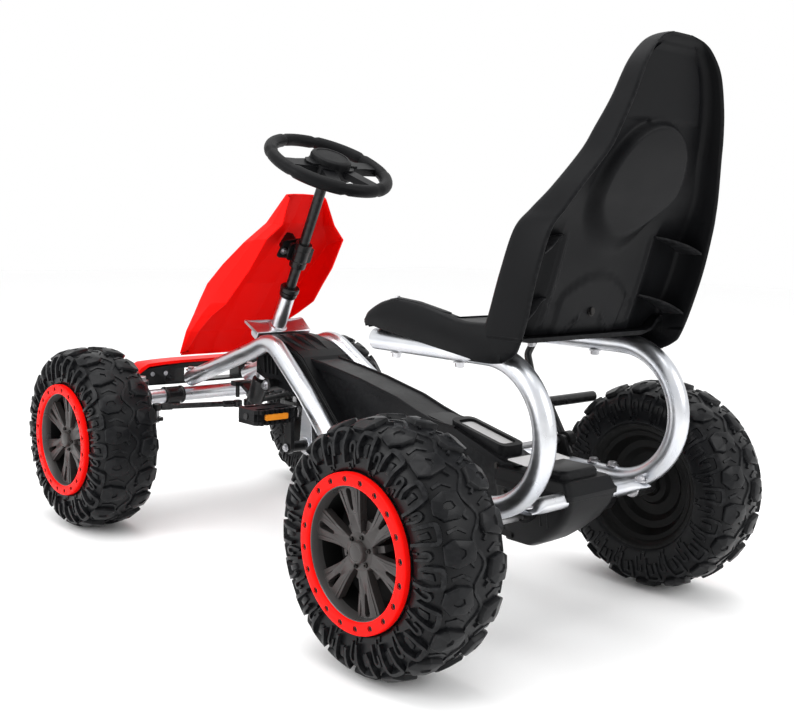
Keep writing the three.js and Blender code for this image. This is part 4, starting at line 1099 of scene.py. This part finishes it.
wing = {
    "top": [(-150, 250), (-146, 255), (-132, 262), (-100, 264), (-66, 265)],
    "under": [(148, 245.5), (141, 250), (130, 256.6), (100, 258.8), (66, 260)],
    "inside": [(-146, 246), (-129, 254), (-66, 258.8)], "insideLow": [(144, 230), (130, 223), (70, 222)],
    "hole": [(-58, 226), (58, 226), (58, 250), (-58, 250)], "lipThick": 4.0,
}
wingLow, wingHigh = boxOf("front_wing")
wingTop, wingUnder, insideTop, insideLow = (wing[k] + flipped(wing[k]) for k in ("top", "under", "inside", "insideLow"))
wingLip = [(x * 0.985, z - 14 + abs(x) * 0.03) for x, z in wingTop[::-1]]
wingShape = joinShapes(plate(wingTop + wingUnder, wingLow[1], wingHigh[1], axes="xz"),
                       plate(wingTop + wingLip, wingLow[1], wingLow[1] + wing["lipThick"], axes="xz"))
piece("frontWing", wingShape, "red", ["front_wing"], bevel=1.0)
piece("wingBracket", plate(insideTop + insideLow, wingLow[1] + 6, wingHigh[1] - 3, [wing["hole"]], "xz"), "paint",
      ["wing_bracket"], bevel=0.8)
screws("wingScrews", [((x, wingHigh[1] - 3.2, 243), (0, 1, 0)) for x in (-122, -96, 96, 122)], "bolt",
       2.8, 2.2, 4.0, 0.7)
print("fairing done")


# covers over the drive
def inset(points, distance):
    points = np.array(points, float)
    a, b = unitRows(points - np.roll(points, 1, 0)), unitRows(np.roll(points, -1, 0) - points)
    area = np.sum(points[:, 0] * np.roll(points[:, 1], -1) - np.roll(points[:, 0], -1) * points[:, 1])
    n = np.stack([-a[:, 1], a[:, 0]], 1) + np.stack([-b[:, 1], b[:, 0]], 1)
    n /= np.maximum(np.sum(n * n, axis=1) / 2, 0.5)[:, None]
    return points + n * distance * (1 if area > 0 else -1)


def clipped(points, keep, at):
    # the part of an outline in front of (keep -1) or behind (keep 1) a place
    result = []
    for p, q in zip(points, points[1:] + points[:1]):
        insideP, insideQ = (p[0] - at) * keep >= 0, (q[0] - at) * keep >= 0
        if insideP:
            result.append(p)
        if insideP != insideQ:
            t = (at - p[0]) / (q[0] - p[0])
            result.append((at, p[1] + t * (q[1] - p[1])))
    return result


chainCover = {
    "top": [(-238, 281), (-205, 300), (-170, 302), (-120, 302), (-57, 295), (-17, 289), (29, 282), (73, 273),
            (113, 265), (155, 252), (189, 243), (234, 240), (280, 226), (318, 213), (346, 207)],
    "bottom": [(346, 112), (100, 122), (-20, 131), (-50, 133), (-64, 142), (-76, 158), (-80, 180), (-84, 203),
               (-101, 220), (-140, 240), (-190, 246), (-238, 262)],
    # distances from the middle: the slot's side, the side sheet, the raised border
    "layers": (10.0, 24.0, 26.6, 30.0), "slot": (244.0, 300.0), "slotFall": 0.22, "slotFallFrom": 230.0,
}
outline = chainCover["top"] + chainCover["bottom"]
slotFrom, slotTo = chainCover["slot"]
slotMid = (0, (slotFrom + slotTo) / 2 - 4)
middleLayer, sheetIn, sheetOut, border = chainCover["layers"]
coverParts = []
for s in bothSides:
    coverParts.append(sidePlate(s, outline, sheetIn, sheetOut))
    coverParts.append(sidePlate(s, outline, middleLayer, sheetIn, [inset(outline, 3.0)]))
    coverParts.append(sidePlate(s, outline, sheetOut, border, [inset(outline, 10.0)]))
    for k in range(3):
        lens = [(-160 + k * 26 + 9 * v + 7 * u, 268 - k * 1.0 + 15 * u + 3.2 * v) for u, v in roundSection(20)]
        coverParts.append(sidePlate(s, lens, 26.4, 28.6, [inset(lens, 1.6)]))
for keep, at in ((-1, slotFrom), (1, slotTo)):
    coverParts.append(plate(clipped(outline, keep, at), -middleLayer, middleLayer, axes="yz"))
ribs = [sweep(bentPath([(s * 27.5, y, z + 0.6) for y, z in chainCover["top"] if y < 236], 20, 3), 2.2, 10)
        for s in bothSides]


def slotPlate(outline, low, high, holes=()):
    return sloped(plate(outline, low, high, holes), chainCover["slotFallFrom"], chainCover["slotFall"])


slotFrame = slotPlate(roundRect(44, 104, 12, 6, slotMid), 222, 247, [roundRect(30, 86, 7, 5, slotMid)])
lid = sloped(plate(roundRect(46, 52, 9, 5, (0, 196)), 232, 246), 190, 0.16)

# the wide hood under the arch, with louvres on top and fins low on its sides
hood = {
    "top": [(-211, 317), (-205, 327), (-192, 330), (-165, 328), (-135, 321), (-110, 312), (-92, 303)],
    "rest": [(0, 215), (22, 190), (10, 180), (-46, 178), (-60, 190), (-80, 216), (-112, 242), (-150, 258),
             (-190, 262), (-213, 276), (-220, 296)],
    "bead": [(-205, 324), (-165, 324), (-112, 308), (-95, 300), (-2, 211), (18, 188)],
    "fin": [(0, 268), (3.4, 267.5), (1.6, 296), (-1.8, 296)], "fins": 4, "finFrom": -196.0, "finStep": 11.0,
    "half": 43.0, "louvres": 3, "louvreFrom": -190.0, "louvreRun": 82.0, "louvreStep": 20.0,
}
half = hood["half"]
hoodParts = [plate(roundCorners(hood["top"] + hood["rest"], 7, 3), -half, half, axes="yz")]
for s in bothSides:
    hoodParts.append(sweep(bentPath([(s * (half - 0.6), y, z) for y, z in hood["bead"]], 22, 5), 2.6, 10))
    for k in range(hood["fins"]):
        fin = [(hood["finFrom"] + hood["finStep"] * k + y, z) for y, z in hood["fin"]]
        hoodParts.append(sidePlate(s, fin, half - 1, half + 2.2))
topY, topZ = np.array(hood["top"]).T
for k in range(hood["louvres"]):
    cx = hood["louvreStep"] * (k - (hood["louvres"] - 1) / 2)
    loops = []
    for t in np.linspace(0, 1, 15):
        y = hood["louvreFrom"] + hood["louvreRun"] * t
        w = 7.2 * sin(pi * min(max(t, 0.02), 0.98)) + 0.3
        z = np.interp(y, topY, topZ)
        shift = 4 * sin(pi * t) * (k - 1)
        loops.append([(cx + shift + w * q, y, z + lift * w / 7.8) for q, lift in
                      ((1, -1.0), (0.82, 3.6), (0.5, 4.6), (0.30, 1.4), (-0.2, 0.4), (-1, -1.0))])
    hoodParts.append(loft(loops))
piece("coverHood", joinShapes(*hoodParts), "cover", bevel=2.2, sharp=30, segments=3)
piece("chainCover", joinShapes(*coverParts), "cover", ["chain_cover"], bevel=1.1, sharp=28)
piece("chainCoverTrim", joinShapes(*ribs, slotFrame, lid), "cover", bevel=1.4, sharp=28)
piece("blankLabel", slotPlate(roundRect(29.4, 85.4, 6.6, 5, slotMid), 241.5, 243.0), "label", bevel=0.3)

rearCover = {
    # rows from the underside up: height, half width, rear end, corner radius
    "rows": [(104.5, 14, 354, 10), (107, 24, 376, 14), (118, 29, 398, 16), (134, 35, 420, 16), (152, 42, 438, 14),
             (170, 46, 449, 12), (183, 48.5, 452, 11), (184, 51, 454, 11), (190.5, 51, 454.5, 11),
             (193, 48.5, 452, 10), (203, 46, 446, 10), (205.5, 43.5, 443, 9)],
    "padRows": [(203, 37, 434, 14), (211, 37, 433, 14), (214.5, 34.5, 430, 12), (215.6, 31, 427, 10)],
    "front": 326.0, "padFront": 372.0, "padHalf": 37.0,
}


def coverLoop(z, half, rearEnd, corner):
    front = rearCover["front"]
    loop = roundCorners([(half, front), (half, rearEnd), (-half, rearEnd), (-half, front)], corner, 6)
    return [(x, y, z) for x, y in loop]


rearPad = loft([[(x, max(y, rearCover["padFront"] + (rearCover["padHalf"] - row[1]) * 0.9), z)
                 for x, y, z in coverLoop(*row)] for row in rearCover["padRows"]])
rearParts = [loft([coverLoop(*row) for row in rearCover["rows"]])]
for s in bothSides:
    # moulded rings and two ribs low on each side
    rearParts.append(placed(plate(circle(20, 28), -0.6, 1.6, [circle(16.5, 28)]), (s * 44.6, 378, 162),
                            (0, s, 0), (0, 0, 1), (s, 0, 0)))
    rearParts += [rod((s * 38, y - 10, 142), (s * 47.5, y - 6, 178), 1.8, 10, 0.4) for y in (412, 424)]
piece("rearCover", joinShapes(*rearParts), "cover", ["rear_cover"], bevel=1.2, sharp=34)
piece("rearCoverCap", rearPad, "cover", bevel=1.6, sharp=34, segments=3)
piece("blankPlate", sloped(plate(roundRect(88, 34, 3, 4, (-12, 352)), 213.2, 214.4), 346, 0.10), "label", bevel=0.4)
coverSpots = [(s, 30.0, y, z) for s in bothSides for y, z in ((-228, 272), (-66, 148), (60, 128), (200, 121),
                                                              (316, 118), (316, 203), (190, 236))]
coverSpots += [(s, 47.4, 346, 176) for s in bothSides]
screws("coverScrews", [((s * x, y, z), (s, 0, 0)) for s, x, y, z in coverSpots], "darkBolt", 3.0, 1.6, 4.6, 0.8, 12,
       slot="plain_steel")
print("covers done")

# drive: chain, sprockets, crank, pedals
_, crankY, crankZ = centreOf("chainring")
crankAt, axleAt = np.array([crankY, crankZ]), np.array([rearY, axleZ])
drive = {"crank": (16, 32.6), "axle": (13, 26.5), "linkPitch": 12.7, "plate": 3.9, "waist": 2.6, "thick": 0.9}
(_, crankRadius), (_, axleRadius) = drive["crank"], drive["axle"]
gap = axleAt - crankAt
lean = atan2(gap[1], gap[0])
wrap = acos((crankRadius - axleRadius) / np.linalg.norm(gap))
loopLine = [centre + radius * np.array([cos(a), sin(a)])
            for centre, radius, start, end in ((crankAt, crankRadius, lean + wrap, lean + 2 * pi - wrap),
                                               (axleAt, axleRadius, lean - wrap, lean + wrap))
            for a in np.linspace(start, end, 40)]
loopLine = np.array(loopLine + loopLine[:1])
lengths = runLength(loopLine)
linkCount = 2 * round(lengths[-1] / drive["linkPitch"] / 2)
at = np.linspace(0, lengths[-1], linkCount + 1)
pins = np.stack([np.interp(at, lengths, loopLine[:, k]) for k in (0, 1)], 1)
pinAt = drive["linkPitch"] / 2
linkOutline = [*arc(drive["plate"], (90, 135, 180, 225, 270), (-pinAt, 0)), (0, -drive["waist"]),
               *arc(drive["plate"], (-90, -45, 0, 45, 90), (pinAt, 0)), (0, drive["waist"])]
for label, first, width in (("Outer", 0, 3.4), ("Inner", 1, 2.4)):
    link = joinShapes(*[sidePlate(s, linkOutline, width, width + drive["thick"]) for s in bothSides],
                      *[rod((-4.8, end, 0), (4.8, end, 0), 1.8, 6) for end in (-pinAt, pinAt)])
    unitObject = addObject("link" + label, makeMesh("link" + label, link))
    spots, turns = [], []
    for k in range(first, linkCount, 2):
        direction = pins[k + 1] - pins[k]
        spots.append((0, *((pins[k] + pins[k + 1]) / 2)))
        turns.append((atan2(direction[1], direction[0]), 0, 0))
    mesh = runTree("chain" + label, pointMesh("chainPoints", spots, "turn", turns), copyTree, copyIds,
                   {"Copy": unitObject, "Finish": looks["chain"][1]})
    bpy.data.objects.remove(unitObject)
    attach(addObject("chain" + label, mesh), "chain", ["chain"], "frame", None)


def sprocket(teeth, radius, centre):
    tooth = ((-0.30, -3.6), (-0.16, 1.2), (0.0, 3.0), (0.16, 1.2), (0.30, -3.6))
    ring = [arc(radius + r, [360 * (k + offset) / teeth], centre)[0] for k in range(teeth) for offset, r in tooth]
    holes = [circle(3.2, 12, (centre[0] + 15 * c, centre[1] + 15 * s)) for c, s in roundSection(5)]
    return plate(ring, -1.5, 1.5, [circle(8.2, 24, centre)] + holes, "yz")


piece("crankSprocket", sprocket(*drive["crank"], crankAt), "steel", ["chainring"], "crank", bevel=0.25)
piece("axleSprocket", sprocket(*drive["axle"], axleAt), "steel", ["rear_sprocket"], "rear_wheels", bevel=0.25)
axleHalf = boxOf("rear_axle")[1][0]
collars = [rod((s * x0, rearY, axleZ), (s * x1, rearY, axleZ), r, 32, c)
           for x0, x1, r, c in ((143, 147, 12, 0.8), (196, 240, 13.2, 1.4)) for s in bothSides]
axleShape = joinShapes(rod((1 - axleHalf, rearY, axleZ), (axleHalf - 1, rearY, axleZ), 7.9, 32, 1.0), *collars)
piece("rearAxle", axleShape, "steel", ["rear_axle"], "rear_wheels")

crank = {"arm": 55.0, "armX": (104.0, 111.0), "hubR": 9.5, "endR": 7.5, "spindle": 5.0}
crankParts = [rod((-106, crankY, crankZ), (106, crankY, crankZ), 7.9, 28, 0.8)]
for s in (1, -1):
    end = crankZ + s * crank["arm"]
    armOutline = arc(crank["hubR"], range(180, 361, 20), crankAt, s)
    armOutline += arc(crank["endR"], range(0, 181, 20), (crankY, end), s)
    crankParts += [sidePlate(s, armOutline, *crank["armX"]),
                   rod((s * 106, crankY, end), (s * 187, crankY, end), crank["spindle"], 20, 0.6),
                   rod((s * 110, crankY, crankZ), (s * 113.5, crankY, crankZ), 6.5, 6, 0.5)]
piece("crankShaft", joinShapes(*crankParts), "paint", ["crank_shaft"], "crank", bevel=0.6)

pedal = {"from": 113.0, "to": 185.0, "teeth": 7, "glassFrom": 129.0, "glassTo": 169.0}


def pedalShape(s, z):
    x0, x1 = sorted((s * pedal["from"], s * pedal["to"]))
    w = (x1 - x0 - 10) / pedal["teeth"]
    teeth = []
    for k in range(pedal["teeth"]):
        x = x0 + 5 + (x1 - x0 - 10) * k / pedal["teeth"]
        teeth += [(x + w * 0.1, -24.5), (x + w * 0.25, -28), (x + w * 0.75, -28), (x + w * 0.9, -24.5)]
    rear = [(x, -y) for x, y in teeth[::-1]]
    outline = [(x0, -20), (x0 + 4, -24.5), *teeth, (x1 - 4, -24.5), (x1, -20), (x1, 20), (x1 - 4, 24.5), *rear,
               (x0 + 4, 24.5), (x0, 20)]
    slots = [roundRect(26, 9, 2.5, 3, ((x0 + x1) / 2 + along, q * 15.0)) for along in (-16, 16) for q in bothSides]
    parts = [plate(outline, low, low + 5.5, slots) for low in (5.5, -11)]
    parts += [block((x, -20, -5.5), (x + 6, 20, 5.5)) for x in (x0, x1 - 6)]
    parts += [block((x0 + 4, q * 22 - 1.5, -5.5), (x1 - 4, q * 22 + 1.5, 5.5)) for q in bothSides]
    return moved(joinShapes(*parts, rod((x0 + 1, 0, 0), (x1 - 1, 0, 0), 8.5, 20)), (0, crankY, z))


for label, s in (("left", 1), ("right", -1)):
    z, body = crankZ + s * crank["arm"], label + "_pedal_body"
    piece(label + "Pedal", pedalShape(s, z), "cover", [label + "_pedal"], body, bevel=0.6)
    x0, x1 = sorted((s * pedal["glassFrom"], s * pedal["glassTo"]))
    glass = [plate(roundRect(x1 - x0, 9.0, 2.5, 4, ((x0 + x1) / 2, z)),
                   *sorted((crankY + q * 23.2, crankY + q * 26.8)), axes="xz") for q in bothSides]
    piece(label + "Reflector", joinShapes(*glass), "amber", (), body, bevel=0.8)

for label, s in (("left", 1), ("right", -1)):
    low, high = boxOf("crank_hanger_" + label)
    hanger = arc(15.5, range(180, 361, 15), crankAt)
    hanger += [(crankY + 12, crankZ + 40), (crankY + 9, high[2]), (crankY - 9, high[2] - 1), (crankY - 12, crankZ + 40)]
    outer = high[0] if s > 0 else low[0]
    shape = joinShapes(plate(hanger, low[0], high[0], [circle(8.3, 28, crankAt)], "yz"),
                       latheAlong([(0, 8.4), (0, 13), (3, 13), (4, 12), (4, 8.4)], (outer, crankY, crankZ),
                                  (s, 0, 0), 32))
    piece(label + "CrankHanger", shape, "zinc", ["crank_hanger_" + label], bevel=0.7)
    low, high = boxOf("axle_bearing_" + label)
    bearing = [(-26, high[2] - 0.5), (-26, high[2] - 7), (-15, axleZ - 10), (-8, low[2] + 1), (8, low[2] + 1),
               (15, axleZ - 10), (20, high[2] - 7), (20, high[2] - 0.5)]
    outer = high[0] - 1 if s > 0 else low[0] + 1
    shape = joinShapes(roundPlate([(rearY + y, z) for y, z in bearing], 5, 3, low[0], high[0],
                                  [circle(8.4, 28, axleAt)], "yz"),
                       latheAlong([(0, 8.4), (0, 14), (2.5, 14), (3.5, 13), (3.5, 8.4)], (outer, rearY, axleZ),
                                  (s, 0, 0), 32))
    piece(label + "AxleBearing", shape, "paint", ["axle_bearing_" + label], bevel=0.9)
frameSpots = []
for s in bothSides:
    frameSpots += [((s * tubeX, rearY + y, tubeLow + tubeR - 0.6), (0, 0, 1)) for y in (-18, 14)]
    frameSpots.append(((s * 62, frontY + 6, 249), (0, 0.1, 1)))
    frameSpots.append(((s * (crossHalf - 5), crossY, crossZ + 2.0), (0, 0, 1)))
screws("frameScrews", frameSpots, "bolt", 6.2, 4.5, 9.0, 1.3)
screws("pedalScrews", [((s * 113.4, crankY, crankZ), (s, 0, 0)) for s in bothSides], "bolt", 4.4, 2.5, 6.2, 0.8,
       body="crank")
# the steering stop: a black cylinder across the cover with a bright bolt in each end
stop = {"y": -183.0, "z": 248.0, "radius": 9.5, "reach": 50.0}
stopEnds = [((s * stop["reach"], stop["y"], stop["z"]), (s, 0, 0)) for s in bothSides]
stopRims = [latheAlong([(-6, 8), (-6, 11.2), (-1.5, 11.2), (-0.5, 10.2), (-0.5, 8)], *end, 28) for end in stopEnds]
piece("steeringStop", joinShapes(rod(stopEnds[0][0], stopEnds[1][0], stop["radius"], 28, 1.2), *stopRims), "paint")
screws("stopBolts", stopEnds, "bolt", 5.6, 4.0, 8.0, 1.0)
print("drive done")

# hand brake
brake = {
    "path": [(-151, 293, 192), (-151, 247, 262), (-153, 212, 296), (-164, 192, 326), (-183, 194, 356),
             (-184, 202, 392), (-184, 196, 412)],
    "shaft": 5.6, "bar": 8.0, "barAt": (247.1, 261.8), "gripFrom": (-184, 201.9, 392.4), "gripTo": (-184, 173, 489.0),
}
lever = joinShapes(sweep(bentPath(brake["path"], 16, 5), brake["shaft"], 16),
                   rod((-146, *brake["barAt"]), (-256, *brake["barAt"]), brake["bar"], 24, 1.2),
                   latheAlong([(-7, 5.4), (-7, 11), (7, 11), (7, 5.4)], (-151, 285, 214), (1, 0, 0), 28))
piece("brakeLever", lever, "paint", ["brake_lever"], "hand_brake")
grip = np.array(brake["gripTo"]) - np.array(brake["gripFrom"])
length = np.linalg.norm(grip)
profile = [(0, 5.8), (0, 11.0), (1.5, 12.0), (7, 12.0), (8, 10.6)]
for k in range(9):
    at = 10 + k * (length - 26) / 9
    profile += [(at, 10.4), (at + 1.6, 11.4), (at + 5.4, 11.4), (at + 7.0, 10.4)]
profile += [(length - 12, 10.6), (length - 5, 11.6), (length - 1.5, 9.5), (length, 6.0), (length + 0.3, 0.01)]
piece("brakeGrip", latheAlong(profile, brake["gripFrom"], grip, 36), "grip", ["brake_grip"], "hand_brake")
_, pivotY, pivotZ = centreOf("brake_pivot_rod")
(pivotFrom, _, _), (pivotTo, _, _) = boxOf("brake_pivot_rod")
piece("brakePivotRod", joinShapes(*[rod((pivotFrom, pivotY, pivotZ), (x, pivotY, pivotZ), r, n, c) for x, r, n, c in
                                    ((pivotTo, 4.9, 20, 0.6), (pivotFrom + 4, 7.5, 6, 0.5))]),
      "steel", ["brake_pivot_rod"])
bracket = [(pivotY - 24, tubeLow + 11), (pivotY + 24, tubeLow + 11), (pivotY + 11, pivotZ + 8),
           (pivotY - 11, pivotZ + 8)]
piece("brakeBracket", roundPlate(bracket, 6, 4, -135, -129, [circle(5.2, 20, (pivotY, pivotZ))], "yz"), "paint",
      ["brake_bracket"], bevel=0.7)
print("hand brake done")

# floor, light and camera
stage = {"floor": 9.0, "floorColour": (0.985, 0.985, 0.985, 1), "worldStrength": 1.0}
floorMesh = bpy.data.meshes.new("floor")
floorMesh.from_pydata([(x * stage["floor"], y * stage["floor"], 0) for x, y in ((-1, -1), (1, -1), (1, 1), (-1, 1))],
                      [], [[0, 1, 2, 3]])
floorFinish, _, floorShader = startFinish("paleFloor")
floorShader["Base Color"].default_value = stage["floorColour"]
floorShader["Roughness"].default_value = 0.75
floorMesh.materials.append(floorFinish)
addObject("floor", floorMesh)

world = bpy.data.worlds.new("studio")
world.use_nodes = True
background = world.node_tree.nodes["Background"].inputs
background["Color"].default_value = (1, 1, 1, 1)
background["Strength"].default_value = stage["worldStrength"]
scene.world = world


def softBox(name, place, target, width, height, power):
    light = bpy.data.lights.new(name, "AREA")
    light.shape = "RECTANGLE"
    light.size, light.size_y, light.energy = width, height, power
    obj = addObject(name, light)
    obj.location = place
    obj.rotation_euler = (Vector(target) - Vector(place)).to_track_quat("-Z", "Y").to_euler()


softBox("overheadBox", (0.2, 0.1, 2.4), (0, 0, 0.2), 2.2, 2.2, 40)
softBox("sideBox", (2.3, -0.4, 1.3), (0, 0, 0.3), 1.4, 1.6, 32)
softBox("rearBox", (-0.6, 2.4, 1.5), (0, 0, 0.4), 1.6, 1.2, 22)

# the place, angles in degrees and lens of the camera
view = {"place": (1.0610, 1.2601, 0.5102), "yaw": 138.01, "pitch": 7.01, "roll": 1.47, "lens": 48.98, "sensor": 36.0}
yaw, pitch, roll = (radians(view[k]) for k in ("yaw", "pitch", "roll"))
back = Vector((sin(yaw) * cos(pitch), -cos(yaw) * cos(pitch), sin(pitch)))
right = (-back).cross(Vector((0, 0, 1))).normalized()
upward = right.cross(-back)
right, upward = cos(roll) * right + sin(roll) * upward, -sin(roll) * right + cos(roll) * upward
camera = bpy.data.cameras.new("camera")
camera.sensor_width = view["sensor"]
camera.lens = view["lens"]
cameraObject = addObject("camera", camera)
cameraObject.matrix_world = Matrix((right, upward, back)).transposed().to_4x4()
cameraObject.location = view["place"]
scene.camera = cameraObject
